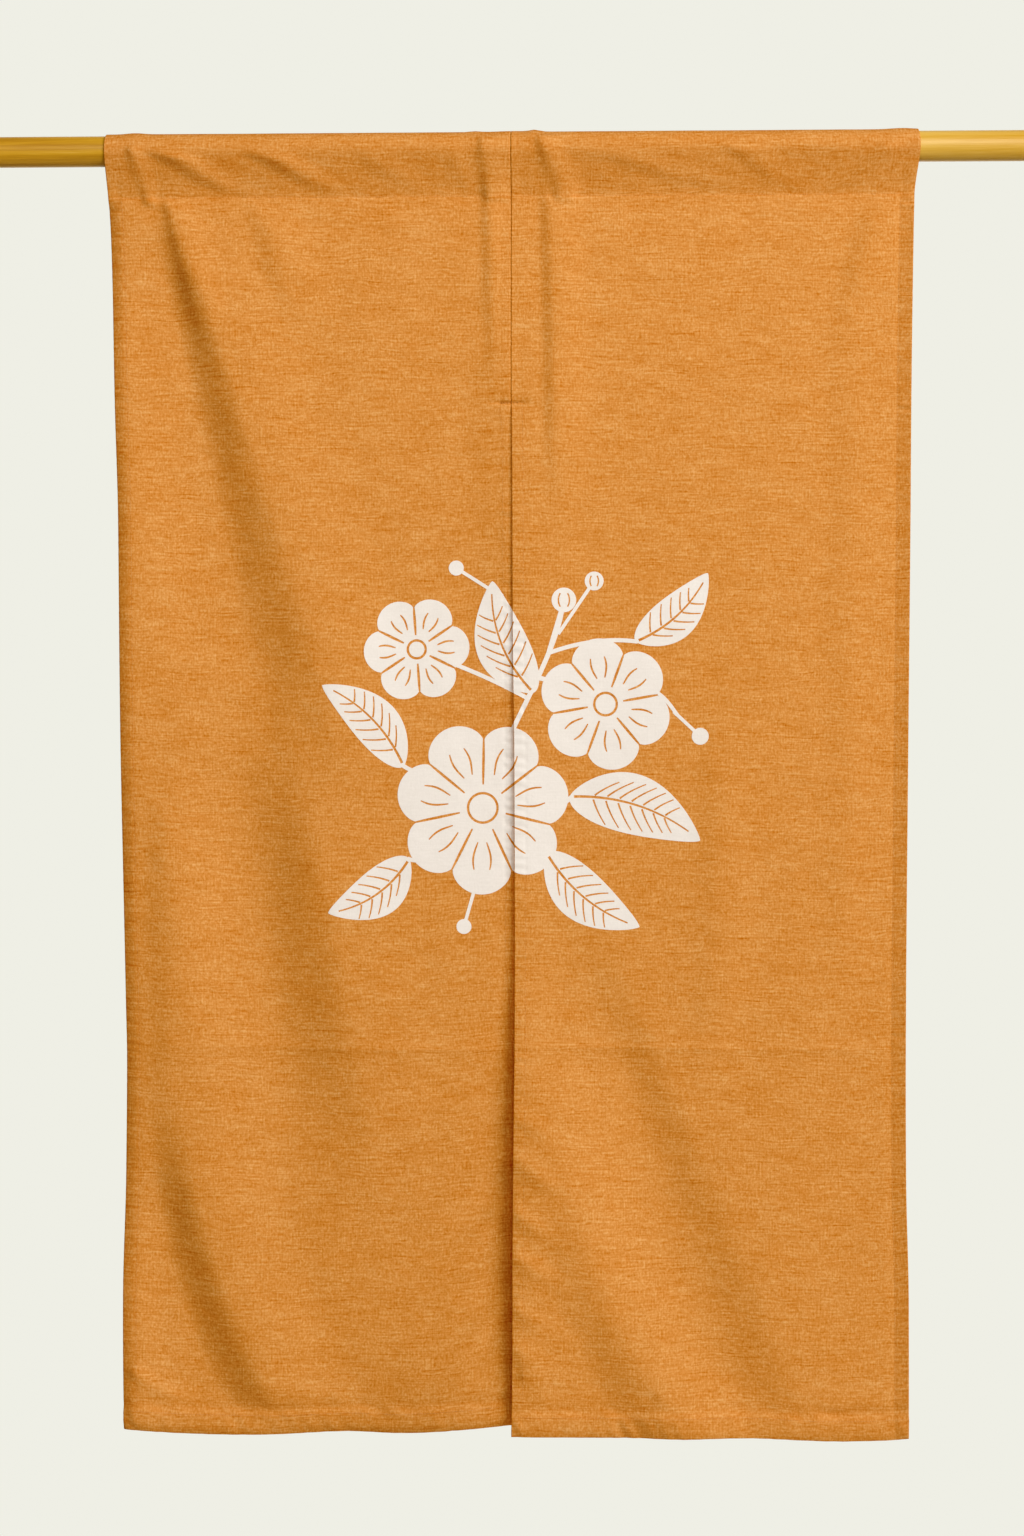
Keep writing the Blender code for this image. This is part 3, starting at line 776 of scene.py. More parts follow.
def stitches(name, paths, material):
    """Every stitch along the paths on the cloth's front: a short bent capsule that dips in at both ends."""
    lines = [stitch_line(path, STITCH_LENGTH, STITCH_GAP) for path in paths]
    starts, ends_at = (np.concatenate(part) for part in zip(*lines))
    ahead = (ends_at - starts) / np.linalg.norm(ends_at - starts, axis=1, keepdims=True)
    out = np.cross(ahead, np.cross([0, -1, 0], ahead))
    out /= np.linalg.norm(out, axis=1, keepdims=True)
    aside = np.cross(out, ahead)
    turns = np.arange(RING_POINTS) / RING_POINTS * 2 * math.pi
    rings = []
    for ring in STITCH_RINGS:
        centre = starts + ring["along"] * (ends_at - starts) + ring["off"] * THREAD_RADIUS * out
        radius = ring["radius"] * THREAD_RADIUS
        circle = np.cos(turns)[:, None, None] * out + np.sin(turns)[:, None, None] * aside
        rings.append(centre + radius * circle)
    points = np.array(rings).transpose(2, 0, 1, 3)
    count = len(STITCH_RINGS) * RING_POINTS
    index = np.arange(count).reshape(len(STITCH_RINGS), RING_POINTS)
    turned = np.roll(index, -1, axis=1)
    sides = np.stack([index[:-1], turned[:-1], turned[1:], index[1:]], axis=-1).reshape(-1, 4)
    first, last = index[0][::-1], index[-1]
    ends = [first[[0, 1, 2, 3]], first[[0, 3, 4, 5]], last[[0, 1, 2, 3]], last[[0, 3, 4, 5]]]
    faces = np.concatenate([sides, ends])
    all_faces = (faces[None] + count * np.arange(len(starts))[:, None, None]).reshape(-1, 4)
    inked = np.repeat(is_inked((starts + ends_at)[:, [0, 2]] / 2).astype(float), count)
    return mesh_object(name, points.reshape(-1, 3), all_faces, material, inked=inked)


# ---------------------------------------------------------------- the print: a spray of flowers and leaves

# Places are in millimetres from the middle of the print, x to the right and z up
PRINT_X, PRINT_Z = 4 * MM, -632 * MM
PRINT_LIFT = 0.00024  # how far the ink's face stands off the cloth
PRINT_THICKNESS = 0.00045
PRINT_MESH = 6.0
PRINT_FINE, PRINT_FINE_TO = 1.6, 21.0  # the film is finer along the slit, where the hem cockles
OUTLINE_STEP = 2.2
LINE_WIDTH = 2.6  # the bare lines in the print, which show the cloth
SMALL_BUD = 9
BUD_STALK = 3.6
PRINT_INSET = 0.4  # the film is cut off this far inside a panel's inner edge
CUT_STEP = 4  # between the points of that cut
MERGED = 0.01  # points of the flat print closer than this are one

# Open flowers: the middle, the radius, the number of petals, and how far the first one is turned, in degrees
FLOWERS = table(
    "x z radius petals turn",
    (-34, -64, 92, 7, 12),
    (96, 46, 70, 6, 40),
    (-104, 104, 56, 6, 4),
)
# Leaves, from the stalk's end to the tip, with their width and how far they bend to the left
LEAVES = table(
    "x1 z1 x2 z2 width bend",
    (58, -52, 196, -98, 64, 14),
    (34, -112, 132, -190, 54, -12),
    (-118, -20, -204, 66, 50, -12),
    (-112, -118, -198, -176, 50, 12),
    (20, 58, -24, 176, 56, 14),
    (128, 112, 204, 184, 46, -10),
)
# Buds on short stalks: the stalk's foot, the bud's middle and its radius
BUDS = table(
    "x1 z1 x2 z2 radius",
    (34, 96, 52, 156, 13),
    (46, 120, 84, 176, 10),
    (-24, 166, -62, 190, 8),
    (168, 38, 196, 12, 9),
    (-42, -148, -54, -190, 8),
)
# The stalks between them, as points that a smooth line of this width passes through
STALKS = table(
    "points width",
    ([(-6, 10), (14, 52), (36, 100), (50, 146)], 5.0),
    ([(24, 74), (52, 66), (84, 52)], 5.0),
    ([(36, 100), (84, 112), (130, 112)], 4.4),
    ([(14, 52), (-30, 74), (-74, 92)], 4.4),
    ([(-80, -30), (-104, -26), (-120, -18)], 4.4),
    ([(30, -70), (48, -62), (60, -52)], 4.4),
    ([(20, -120), (28, -116), (36, -112)], 4.4),
    ([(-90, -118), (-102, -120), (-114, -118)], 4.4),
    ([(150, 58), (160, 50), (172, 34)], 4.0),
)


def around(x, z, radius, angle):
    """Points at these angles round (x, z), radius from it."""
    return np.stack([x + radius * np.cos(angle), z + radius * np.sin(angle)], axis=1)


def flower_outline(flower):
    """r = radius * (0.76 + 0.24 * |cos(petals * angle / 2)| ** 0.6): petals with sharp notches between."""
    angle = np.linspace(0, 2 * math.pi, int(flower["radius"] * 7 / OUTLINE_STEP), endpoint=False)
    swell = np.abs(np.cos(flower["petals"] * (angle - math.radians(flower["turn"])) / 2))
    radius = flower["radius"] * (0.76 + 0.24 * swell**0.6)
    return around(flower["x"], flower["z"], radius, angle)


def ring(x, z, radius):
    angle = np.linspace(0, 2 * math.pi, max(10, int(radius * 6.3 / OUTLINE_STEP)), endpoint=False)
    return around(x, z, radius, angle)


def strip(points, widths):
    """The outline of a line through points, widths wide along it: down one side and back up the other."""
    ahead = np.gradient(points, axis=0)
    ahead /= np.linalg.norm(ahead, axis=1, keepdims=True)
    aside = np.stack([-ahead[:, 1], ahead[:, 0]], axis=1) * np.broadcast_to(widths, len(points))[:, None] / 2
    return np.concatenate([points + aside, (points - aside)[::-1]])


def through(points, count):
    """count points on the smooth curve through a few points, by Lagrange's formula."""
    points = np.array(points, dtype=float)
    at = np.linspace(0, len(points) - 1, count)
    curve = 0
    for i, point in enumerate(points):
        weight = np.ones(count)
        for j in range(len(points)):
            if j != i:
                weight *= (at - j) / (i - j)
        curve = curve + weight[:, None] * point
    return curve


def flower_lines(flower):
    """The bare lines in a flower: a ring round its middle, one between petals, and two veins in each."""
    x, z, radius = flower["x"], flower["z"], flower["radius"]
    middle = ring(x, z, radius * 0.17)
    lines = [strip(np.concatenate([middle, middle[:1]]), LINE_WIDTH)]
    step = 2 * math.pi / flower["petals"]
    rays = []
    for i in range(flower["petals"]):
        petal = math.radians(flower["turn"]) + i * step
        rays.append((petal + step / 2, 0.27, 0.80, 0.0, LINE_WIDTH * 1.1))
        rays.append((petal - step * 0.14, 0.40, 0.72, -0.05, LINE_WIDTH * 0.8))
        rays.append((petal + step * 0.14, 0.40, 0.72, 0.05, LINE_WIDTH * 0.8))
    for angle, start, end, curl, width in rays:
        along = np.linspace(start, end, 12)
        turned = angle + curl * np.sin((along - start) / (end - start) * math.pi)
        taper = np.sin(np.linspace(0.25, math.pi - 0.25, 12)) ** 0.4
        lines.append(strip(around(x, z, radius * along, turned), width * taper))
    return lines


def leaf_rib(leaf, along):
    """Points on a leaf's rib and the unit direction across it. The rib bows to the left by bend."""
    start, end = (np.array([leaf[f"x{i}"], leaf[f"z{i}"]], dtype=float) for i in (1, 2))
    ahead = end - start
    aside = np.array([-ahead[1], ahead[0]]) / np.linalg.norm(ahead)
    bow = leaf["bend"] * 4 * along * (1 - along)
    return start + along[:, None] * ahead + bow[:, None] * aside, aside, ahead / np.linalg.norm(ahead)


def leaf_half_width(leaf, along):
    """Half the width is width / 2 * sin(pi * along ** 0.8) ** 0.75, fullest before the middle."""
    return leaf["width"] / 2 * np.sin(math.pi * np.clip(along, 0, 1) ** 0.8) ** 0.75


def leaf_outline(leaf):
    along = (1 - np.cos(np.linspace(0, math.pi, 44))) / 2
    rib, aside, _ = leaf_rib(leaf, along)
    half = leaf_half_width(leaf, along)[:, None] * aside
    return np.concatenate([rib + half, (rib - half)[-2:0:-1]])


def leaf_lines(leaf):
    """The bare lines in a leaf: its rib, and curved veins from it towards the tip on both sides."""
    along = np.linspace(0.03, 0.90, 30)
    rib, aside, ahead = leaf_rib(leaf, along)
    lines = [strip(rib, LINE_WIDTH * 1.1 * (1 - 0.5 * along))]
    length = math.hypot(leaf["x2"] - leaf["x1"], leaf["z2"] - leaf["z1"])
    for foot in np.arange(0.16, 0.74, 13 / length):
        for side in (-1, 1):
            reach = leaf_half_width(leaf, foot + 0.12) * 0.80
            share = np.linspace(0.10, 1, 9)[:, None]
            start, _, _ = leaf_rib(leaf, np.array([foot]))
            vein = start + share * side * reach * aside + (0.62 * share + 0.30 * share**2) * reach * ahead
            lines.append(strip(vein, LINE_WIDTH * 0.8 * (1 - 0.4 * share[:, 0])))
    return lines


def bud_lines(bud):
    """The bare lines in a bud: two that bend apart, as between closed petals. A small bud has none."""
    x, z, radius = bud["x2"], bud["z2"], bud["radius"]
    if radius <= SMALL_BUD:
        return []
    height = np.linspace(-0.55, 0.55, 8)
    bend = radius * (0.45 - 0.5 * height**2)
    lines = [np.stack([x + side * bend, z + radius * height], axis=1) for side in (-1, 1)]
    return [strip(line, LINE_WIDTH * 0.6) for line in lines]


def print_shapes():
    """The outlines that are inked, and those that are left bare inside them."""
    inked = [flower_outline(flower) for flower in FLOWERS] + [leaf_outline(leaf) for leaf in LEAVES]
    inked += [ring(bud["x2"], bud["z2"], bud["radius"]) for bud in BUDS]
    for bud in BUDS:
        inked.append(strip(through([(bud["x1"], bud["z1"]), (bud["x2"], bud["z2"])], 12), BUD_STALK))
    inked += [strip(through(stalk["points"], 26), stalk["width"]) for stalk in STALKS]
    bare = [line for flower in FLOWERS for line in flower_lines(flower)]
    bare += [line for leaf in LEAVES for line in leaf_lines(leaf)]
    bare += [line for bud in BUDS for line in bud_lines(bud)]
    return inked, bare


def inside(points, outline):
    """Which points are inside a closed outline, by counting the edges to their right."""
    after = np.roll(outline, -1, axis=0)
    x, z = points[:, :1], points[:, 1:]
    spans = (outline[:, 1] > z) != (after[:, 1] > z)
    rise = np.where(after[:, 1] == outline[:, 1], 1, after[:, 1] - outline[:, 1])
    slope = (after[:, 0] - outline[:, 0]) / rise
    return (spans & (x < outline[:, 0] + slope * (z - outline[:, 1]))).sum(axis=1) % 2 == 1


def inside_any(points, outlines):
    found = np.zeros(len(points), dtype=bool)
    for outline in outlines:
        low, high = outline.min(axis=0), outline.max(axis=0)
        near = np.flatnonzero(((points >= low) & (points <= high)).all(axis=1) & ~found)
        found[near] = inside(points[near], outline)
    return found


def placed_shapes():
    """The inked and the bare outlines at their place on the cloth, in metres."""
    return [[outline * MM + [PRINT_X, PRINT_Z] for outline in outlines] for outlines in print_shapes()]


def is_inked(points):
    """Which points (x, z) of the cloth have ink on them."""
    inked, bare = placed_shapes()
    return inside_any(points, inked) & ~inside_any(points, bare)


def print_edge(z, side):
    """How far from the middle the film ends at z: a little inside the panel's inner edge."""
    return edges_at(z, side)[0] + PRINT_INSET * MM


def grid(across, down):
    return np.stack(np.meshgrid(across, down), axis=-1).reshape(-1, 2)


def flat_print(side):
    """The print's part on one panel as a flat mesh in x and z: its points and its triangles.

    It has an edge along every outline and along the slit, and points every few millimetres between, closer
    together near the slit. A triangle is kept where its middle is inside an inked outline and outside every
    bare one.
    """
    sign = sign_of(side)
    inked, bare = placed_shapes()
    every = np.concatenate(inked)
    low, high = every.min(axis=0) - MM, every.max(axis=0) + MM

    heights = np.arange(low[1], high[1], CUT_STEP * MM)
    cut = np.stack([sign * print_edge(heights, side), heights], axis=1)
    edges, start = [], 0
    for loop in (*inked, *bare):
        edges += [(start + i, start + (i + 1) % len(loop)) for i in range(len(loop))]
        start += len(loop)
    edges += [(start + i, start + i + 1) for i in range(len(cut) - 1)]
    coarse = grid(*(np.arange(low[i], high[i], PRINT_MESH * MM) for i in (0, 1)))
    fine_across = np.arange(0, PRINT_FINE_TO, PRINT_FINE) * sign * MM
    fine = grid(fine_across, np.arange(low[1], high[1], PRINT_FINE * MM))
    between = np.concatenate([coarse, fine])
    between = between[inside_any(between, inked)]
    points = [Vector(point) for point in (np.concatenate([*inked, *bare, cut, between]) / MM).tolist()]
    points, _, triangles, *_ = delaunay_2d_cdt(points, edges, [], 0, MERGED)
    points, triangles = np.array(points) * MM, np.array(triangles)

    middles = points[triangles].mean(axis=1)
    past_the_slit = sign * middles[:, 0] > print_edge(middles[:, 1], side)
    triangles = triangles[past_the_slit & inside_any(middles, inked) & ~inside_any(middles, bare)]
    used, triangles = np.unique(triangles, return_inverse=True)
    points, triangles = points[used], triangles.reshape(-1, 3)
    first, second, third = (points[triangles[:, i]] for i in range(3))
    turned = np.cross(second - first, third - first) < 0
    triangles[turned] = triangles[turned][:, ::-1]
    return points, triangles


def print_on(side, material):
    """The print's part on one panel: a thin film of ink on the cloth's folds, with a sharp rim."""
    flat, triangles = flat_print(side)
    x, z = flat.T
    y = front_of(x, z, side) - PRINT_LIFT
    made = mesh_object(f"print_{side}", np.stack([x, y, z], axis=1), triangles, material, flat)
    mesh = made.data
    edge_of_loop = np.empty(len(mesh.loops), dtype=np.int32)
    mesh.loops.foreach_get("edge_index", edge_of_loop)
    on_rim = np.bincount(edge_of_loop, minlength=len(mesh.edges)) == 1
    mesh.attributes.new("sharp_edge", "BOOLEAN", "EDGE").data.foreach_set("value", on_rim)
    film = made.modifiers.new("film", "SOLIDIFY")
    film.thickness = PRINT_THICKNESS
    film.offset = -1
    return made


# ---------------------------------------------------------------- materials


def linear(hex_colour):
    """An sRGB colour such as "d98f43" as linear red, green, blue and alpha."""
    srgb = np.array([int(hex_colour[i : i + 2], 16) / 255 for i in (0, 2, 4)])
    return (*np.where(srgb <= 0.04045, srgb / 12.92, ((srgb + 0.055) / 1.055) ** 2.4).tolist(), 1.0)


def new_material(name):
    """A material with only its Principled shader and output: its node tree and its shader."""
    made = bpy.data.materials.new(name)
    made.use_nodes = True
    return made, made.node_tree, made.node_tree.nodes["Principled BSDF"]


def connect(tree, node, inputs):
    """Gives each of a node's inputs its value, or links it to another node's output."""
    for socket, value in inputs.items():
        if isinstance(value, bpy.types.NodeSocket):
            tree.links.new(value, node.inputs[socket])
        else:
            node.inputs[socket].default_value = value


def add(tree, kind, inputs=None, **settings):
    """Adds a node with its settings and its inputs' values or links."""
    made = tree.nodes.new("ShaderNode" + kind)
    for name, value in settings.items():
        setattr(made, name, value)
    connect(tree, made, inputs or {})
    return made


def ramp(tree, factor, stops):
    """A colour ramp through stops of (place, hex colour)."""
    made = add(tree, "ValToRGB", {"Fac": factor})
    elements = made.color_ramp.elements
    while len(elements) < len(stops):
        elements.new(0.5)
    for element, (place, hex_colour) in zip(elements, stops):
        element.position = place
        element.color = linear(hex_colour)
    return made.outputs["Color"]


def stretched_noise(tree, coordinates, wide, tall, detail=1.0, deep=1.0):
    """Noise whose spots are wide by tall metres along the first two coordinates."""
    placed = add(tree, "Mapping", {"Vector": coordinates, "Scale": (1 / wide, 1 / tall, 1 / deep)})
    noise = add(tree, "TexNoise", {"Vector": placed.outputs["Vector"], "Scale": 1.0, "Detail": detail})
    return noise.outputs["Fac"]


def weighted_sum(tree, middle, parts):
    """middle plus each part's weight times how far its value is from a half."""
    total = middle
    for value, weight in parts:
        shifted = add(tree, "Math", {0: value, 1: weight, 2: -weight / 2}, operation="MULTIPLY_ADD")
        total = add(tree, "Math", {0: shifted.outputs[0], 1: total}, operation="ADD").outputs[0]
    return total


# Linen-look yarn: about a thread each 0.55 mm in real cloth, drawn every 0.9 mm so that it shows
THREAD = 0.0009
# How uneven the cloth is, at each scale: spots wide by tall millimetres, and how much they show in the dye
# and in the relief
YARN_SPOTS = table(
    "name wide tall dye relief",
    ("yarns across", 40, 1.9, 0.44, 0.7),
    ("slubs across", 11, 1.9, 0.46, 0.7),
    ("yarns down", 1.5, 16, 0.4, 0.5),
    ("grain", 2.1, 3.0, 0.75, 0.65),
    ("patches", 60, 22, 0.2, 0.0),
    ("crumples", 22, 13, 0.0, 5.0),
)
THICK_YARN = (55, 1.7)  # a few yarns are much thicker: how long and how high they show, in millimetres
THICK_YARN_DYE = 0.2  # and how much deeper in tone they are
YARN_SWAY = (60, 40, 9.0)  # the yarns sway: over how far across and down, and by how much, in millimetres


def yarn_spots(tree, flat, shown):
    """Every scale's noise with how much it shows, for shown "dye" or "relief"."""
    return [
        (stretched_noise(tree, flat, row["wide"] * MM, row["tall"] * MM), row[shown])
        for row in YARN_SPOTS
        if row[shown]
    ]


def swaying_cloth(tree):
    """The cloth's flat position, drawn up and down a little so that the yarns aren't dead straight."""
    flat = add(tree, "UVMap", uv_map="flat_cloth").outputs["UV"]
    wide, tall, sway = YARN_SWAY
    noise = stretched_noise(tree, flat, wide * MM, tall * MM)
    moved = {0: noise, 1: (0, sway * MM, 0), 2: flat}
    return add(tree, "VectorMath", moved, operation="MULTIPLY_ADD").outputs["Vector"]


def thick_yarns(tree, flat):
    """1 along the few yarns that are much thicker, and 0 elsewhere."""
    noise = stretched_noise(tree, flat, THICK_YARN[0] * MM, THICK_YARN[1] * MM, detail=2.0)
    return add(tree, "MapRange", {"Value": noise, "From Min": 0.60, "From Max": 0.72}).outputs["Result"]


def weave_bump(tree, flat, parts, distance):
    """The weave's own relief: over and under threads as a product of two sines, and the slubs on top."""
    axes = add(tree, "SeparateXYZ", {"Vector": flat})
    waves = []
    for axis in ("X", "Y"):
        angle = add(tree, "Math", {0: axes.outputs[axis], 1: math.pi / THREAD}, operation="MULTIPLY")
        waves.append(add(tree, "Math", {0: angle.outputs[0]}, operation="SINE").outputs[0])
    threads = add(tree, "Math", {0: waves[0], 1: waves[1]}, operation="MULTIPLY")
    height = add(tree, "Math", {0: threads.outputs[0], 1: 0.18, 2: 0.5}, operation="MULTIPLY_ADD").outputs[0]
    height = weighted_sum(tree, height, parts)
    return add(tree, "Bump", {"Height": height, "Strength": 1.0, "Distance": distance}).outputs["Normal"]


def linen_look_cloth():
    """Polyester woven to look like linen and dyed orange: a matt, dry face, with streaks of paler and darker
    yarn across it and fainter ones down it. In the hems, where two thicknesses of cloth lie together, it has
    painted shade: a darker colour that stands for the light from behind, which passes through less there."""
    made, tree, shader = new_material("woven_linen_look_polyester")
    flat = swaying_cloth(tree)
    thick = (thick_yarns(tree, flat), -THICK_YARN_DYE)
    tone = weighted_sum(tree, 0.5 - THICK_YARN_DYE / 2, [*yarn_spots(tree, flat, "dye"), thick])
    dyed = ramp(tree, tone, [(0.0, "b66826"), (0.5, "d19256"), (1.0, "e9b97f")])
    # Painted shade: where the cloth is doubled, the colour is multiplied by a darker tint, for the light from
    # behind that passes through less.
    layers = add(tree, "Attribute", attribute_name="layers").outputs["Fac"]
    deeper = {"Factor": layers, 6: (1, 1, 1, 1), 7: (0.92, 0.90, 0.88, 1)}
    painted_shade_tint = add(tree, "Mix", deeper, data_type="RGBA").outputs[2]
    colour = add(tree, "Mix", {"Factor": 1.0, 6: dyed, 7: painted_shade_tint}, data_type="RGBA", blend_type="MULTIPLY")
    bump = weave_bump(tree, flat, yarn_spots(tree, flat, "relief"), 0.00016)
    face = {"Base Color": colour.outputs[2], "Normal": bump, "Roughness": 0.82, "Specular IOR Level": 0.12}
    connect(tree, shader, face)
    return made


def print_ink():
    """Pigment ink, screen printed: an opaque off-white film, matt, that still shows the weave under it."""
    made, tree, shader = new_material("screen_print_pigment_ink")
    flat = swaying_cloth(tree)
    tone = weighted_sum(tree, 0.55, [(noise, weight / 2) for noise, weight in yarn_spots(tree, flat, "dye")])
    colour = ramp(tree, tone, [(0.0, "dcd7cf"), (0.6, "eae5df"), (1.0, "f4f0ea")])
    bump = weave_bump(tree, flat, yarn_spots(tree, flat, "relief"), 0.00007)
    connect(tree, shader, {"Base Color": colour, "Normal": bump, "Roughness": 0.6, "Specular IOR Level": 0.4})
    return made


def sewing_thread():
    """Spun polyester thread, dyed to match the cloth and a little shinier. Under the print it takes ink."""
    made, tree, shader = new_material("spun_polyester_thread")
    place = add(tree, "TexCoord").outputs["Object"]
    fibre = stretched_noise(tree, place, 0.0006, 0.0006, deep=0.0006)
    tone = ramp(tree, fibre, [(0.3, "b8783c"), (0.7, "dca468")])
    inked = add(tree, "Attribute", attribute_name="inked").outputs["Fac"]
    colour = add(tree, "Mix", {"Factor": inked, 6: tone, 7: linear("e6e1da")}, data_type="RGBA")
    connect(tree, shader, {"Base Color": colour.outputs[2], "Roughness": 0.55, "Sheen Weight": 0.2})
    return made


def varnished_pine():
    """A turned softwood pole under clear varnish: yellow, with long fine grain along it, a few darker
    streaks, and a soft bright line where the light meets the round. Its colour grows lighter towards its
    right end, which is painted light from the side the key lamp comes from."""
    made, tree, shader = new_material("varnished_softwood")
    place = add(tree, "TexCoord").outputs["Object"]
    streaks = stretched_noise(tree, place, 0.32, 0.0050, detail=3.0, deep=0.0050)
    pores = stretched_noise(tree, place, 0.030, 0.0009, detail=1.0, deep=0.0009)
    cloudy = stretched_noise(tree, place, 0.24, 0.10, detail=1.0, deep=0.10)
    # Painted light: the tone grows lighter from the pole's left end to its right end, the side the key lamp
    # lights it from.
    along = add(tree, "SeparateXYZ", {0: place}).outputs["X"]
    along = add(tree, "MapRange", {"Value": along, "From Min": -0.6, "From Max": 0.6}).outputs["Result"]
    tone = weighted_sum(tree, 0.56, [(streaks, 0.9), (pores, 0.35), (cloudy, 0.4), (along, 0.4)])
    colour = ramp(tree, tone, [(0.0, "98682a"), (0.5, "cc9e42"), (1.0, "e6c06a")])
    bump = add(tree, "Bump", {"Height": pores, "Strength": 0.3, "Distance": 0.0001}).outputs["Normal"]
    varnish = {"Roughness": 0.42, "Coat Weight": 0.2, "Coat Roughness": 0.3}
    connect(tree, shader, {"Base Color": colour, "Normal": bump, **varnish})
    return made


def matt_paint(name, hex_colour):
    """A plain matt surface for the floor."""
    made, tree, shader = new_material(name)
    connect(tree, shader, {"Base Color": linear(hex_colour), "Roughness": 0.9})
    return made


# ---------------------------------------------------------------- the curtain


# The paths of the stitches: how close their points are, how far below the pocket seam the side hem's line
# starts, how far above the bottom hem's stitches the upright lines end, how far from a panel's edges the
# other lines end, and how far below its seam the pocket's stitches are
PATH_STEP = 1.2 * MM
PATH_START = 3 * MM
PATH_END = 12 * MM
PATH_MARGIN = 1 * MM
PATH_BELOW = 0.6 * MM


def sewn_paths(side):
    """The lines of stitches on a panel's front: at the pocket, and along its side, slit and bottom hems."""
    sign = sign_of(side)
    lowest = -CURTAIN_DROP + BOTTOM_HEM + PATH_END
    z = np.arange(-POCKET_DROP - PATH_START, lowest, -PATH_STEP)
    slit_z = np.arange(-SEAM_DROP, lowest, -PATH_STEP)
    inner, outer = edges_at(z, side)
    outer_line = np.stack([sign * (outer - SIDE_HEM), z], axis=1)
    slit_line = np.stack([sign * (edges_at(slit_z, side)[0] + SLIT_HEM), slit_z], axis=1)
    low_inner, low_outer = (float(edge[-1]) for edge in (inner, outer))
    x = sign * np.arange(low_inner + PATH_MARGIN, low_outer - PATH_MARGIN, PATH_STEP)
    bottom_line = np.stack([x, bottom_at(x, side) + BOTTOM_HEM], axis=1)
    x = sign * np.arange(2 * PATH_MARGIN, float(outer[0]) - PATH_MARGIN, PATH_STEP)
    pocket_line = np.stack([x, np.full(len(x), -POCKET_DROP - PATH_BELOW)], axis=1)
    paths = []
    for line in (pocket_line, outer_line, slit_line, bottom_line):
        x, z = line.T
        paths.append(np.stack([x, front_of(x, z, side), z], axis=1))
    return paths


def bar_tack():
    """The two lines of stitches across the seam at the slit's top, from one slit hem to the other."""
    x = np.arange(-SLIT_HEM, SLIT_HEM, MM)
    paths = []
    for rise in TACK_LINES:
        z = np.full(len(x), rise - SEAM_DROP)
        y = np.minimum(front_of(x, z, "left"), front_of(x, z, "right"))
        paths.append(np.stack([x, y, z], axis=1))
    return paths


def curtain():
    cloth, ink, thread = linen_look_cloth(), print_ink(), sewing_thread()
    for side in ("left", "right"):
        panel = cloth_panel(side, cloth)
        sewing = stitches(f"stitches_{side}", sewn_paths(side), thread)
        printed = print_on(side, ink)
        on_it = [sewing, printed]
        if side == "left":
            on_it += [seam_allowance(cloth), stitches("bar_tack", bar_tack(), thread)]
        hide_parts(f"panel_{side}")
        for piece in (panel, *on_it):
            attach(piece, "root")


def pole():
    """The pole keeps its own shape and gets its wood."""
    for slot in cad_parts["pole"].material_slots:
        slot.material = varnished_pine()


# ---------------------------------------------------------------- the studio

FLOOR_DROP = 2.20  # the pole hangs at a door's height
FLOOR_RADIUS = 1.6
FLOOR_CORNERS = 96
CAMERA_PLACE = Vector((0.1053, -3.05, -0.600))
CAMERA_AIM = Vector((0.001, 0.0, -0.6537))
CAMERA_LENS = 67.49
ROOM_GLOW = (0.19, 0.15, 0.115, 1)
WALL_GLOW = (0.87, 0.868, 0.795, 1)

# The lamps: a window's broad light from the right, a smaller lamp above that lights the top of the cloth
# more, and a lamp behind the curtain for its back. Each is turned to the height target in the middle.
LAMPS = table(
    "name place size power target",
    ("key", (7.8, -7.1, 2.8), 7.0, 1090, -0.65),
    ("fill", (0.2, -2.8, 1.1), 1.6, 45, -0.35),
    ("back", (0.0, 3.4, -0.65), 1.2, 55, -0.65),
)
LAMP_COLOUR = (1.0, 0.985, 0.96)

# The tone curve between black and white: how strongly each strength of light shows
TONE_CURVE = [(0.05, 0.0105), (0.1, 0.0546), (0.2, 0.1586), (0.5, 0.474)]


def aim(placed, target):
    placed.rotation_euler = (target - placed.location).to_track_quat("-Z", "Y").to_euler()


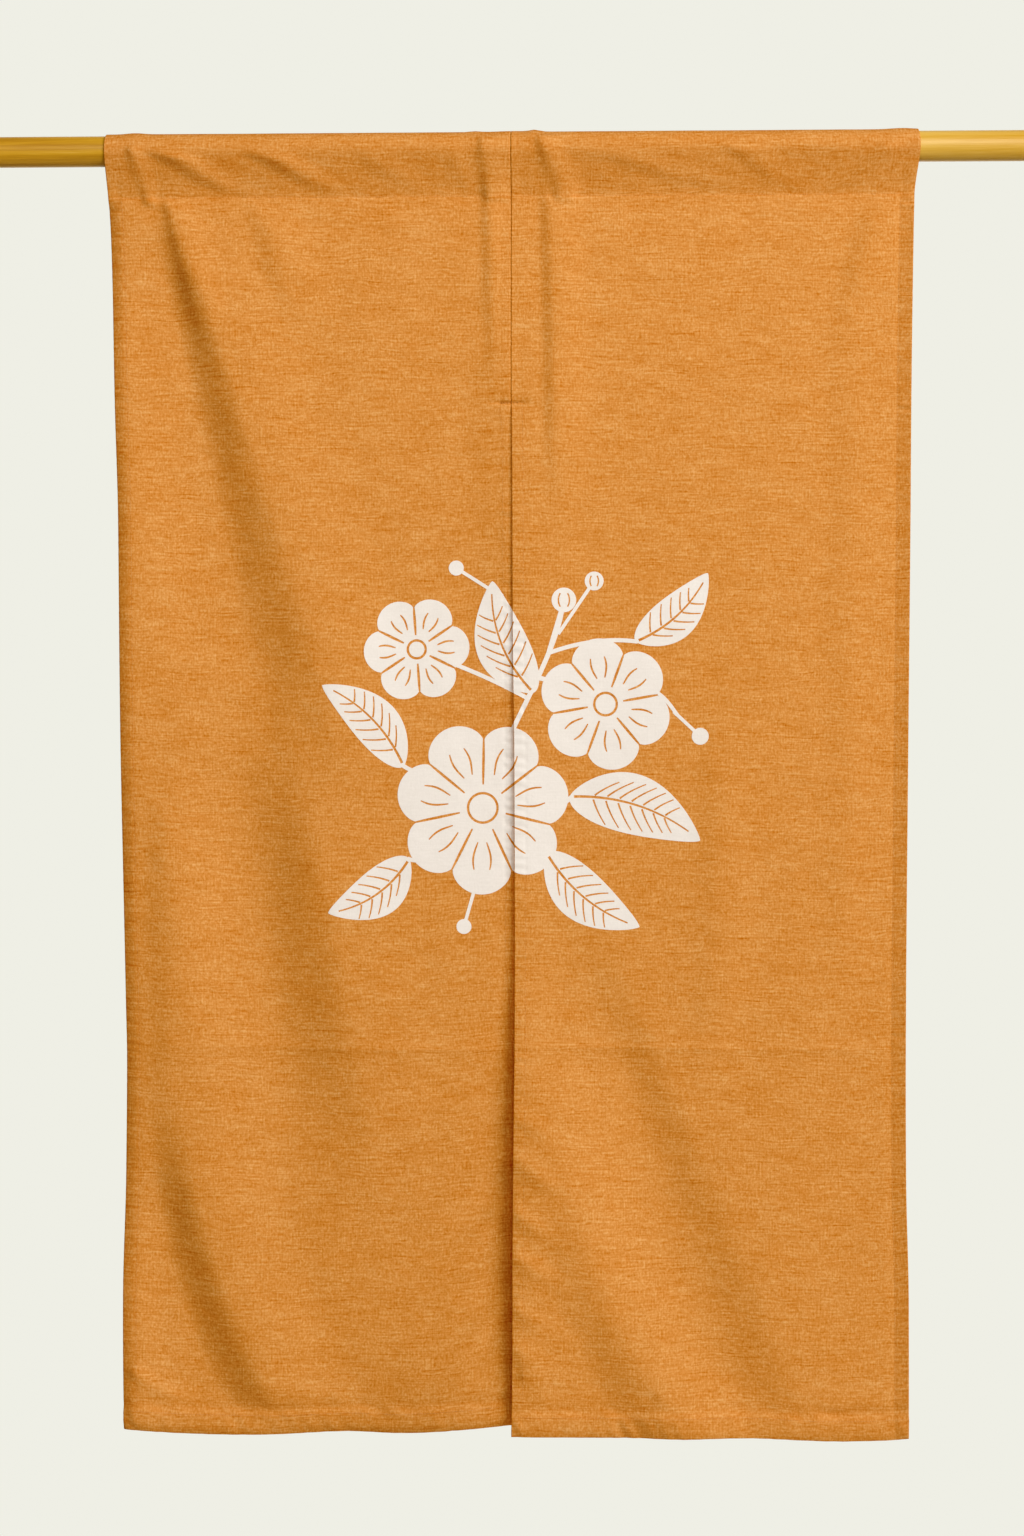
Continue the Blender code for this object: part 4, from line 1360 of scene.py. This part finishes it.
def floor():
    """A round pale floor under the curtain."""
    angle = np.arange(FLOOR_CORNERS) / FLOOR_CORNERS * 2 * math.pi
    points = [(FLOOR_RADIUS * math.cos(a), FLOOR_RADIUS * math.sin(a), -FLOOR_DROP) for a in angle]
    mesh = bpy.data.meshes.new("floor")
    mesh.from_pydata(points, [], [tuple(range(FLOOR_CORNERS))])
    mesh.materials.append(matt_paint("pale_matt_floor", "e6e3dc"))
    made = bpy.data.objects.new("floor", mesh)
    bpy.context.scene.collection.objects.link(made)


def surroundings():
    """A room with a bright wall behind the curtain and a dimmer space in front of it, both even."""
    world = bpy.data.worlds.new("pale_room")
    bpy.context.scene.world = world
    world.use_nodes = True
    tree = world.node_tree
    direction = add(tree, "TexCoord").outputs["Generated"]
    towards_wall = add(tree, "SeparateXYZ", {0: direction}).outputs["Y"]
    share = add(tree, "MapRange", {"Value": towards_wall, "From Min": 0.35, "From Max": 0.9})
    glow = {"Factor": share.outputs["Result"], 6: ROOM_GLOW, 7: WALL_GLOW}
    colour = add(tree, "Mix", glow, data_type="RGBA").outputs[2]
    connect(tree, tree.nodes["Background"], {"Color": colour})


def lamps():
    """The square soft lamps of the table."""
    for row in LAMPS:
        light = bpy.data.lights.new(row["name"], "AREA")
        light.energy, light.size, light.color = row["power"], row["size"], LAMP_COLOUR
        made = bpy.data.objects.new(row["name"], light)
        bpy.context.scene.collection.objects.link(made)
        made.location = row["place"]
        aim(made, Vector((0, 0, row["target"])))


def camera():
    made = bpy.data.objects.new("camera", bpy.data.cameras.new("camera"))
    bpy.context.scene.collection.objects.link(made)
    made.data.lens = CAMERA_LENS
    made.data.sensor_width = 36.0
    made.location = CAMERA_PLACE
    aim(made, CAMERA_AIM)
    bpy.context.scene.camera = made


def tone():
    """Colours as a camera develops them: the weakest light comes out a little deeper, and so does the
    shadows' hue."""
    view = bpy.context.scene.view_settings
    view.view_transform = "Standard"
    view.use_curve_mapping = True
    curve = view.curve_mapping.curves[3]  # the one for all three colours together
    for light, shown in TONE_CURVE:
        curve.points.new(light, shown)
    view.curve_mapping.update()


tone()
camera()
pole()
curtain()
floor()
surroundings()
lamps()
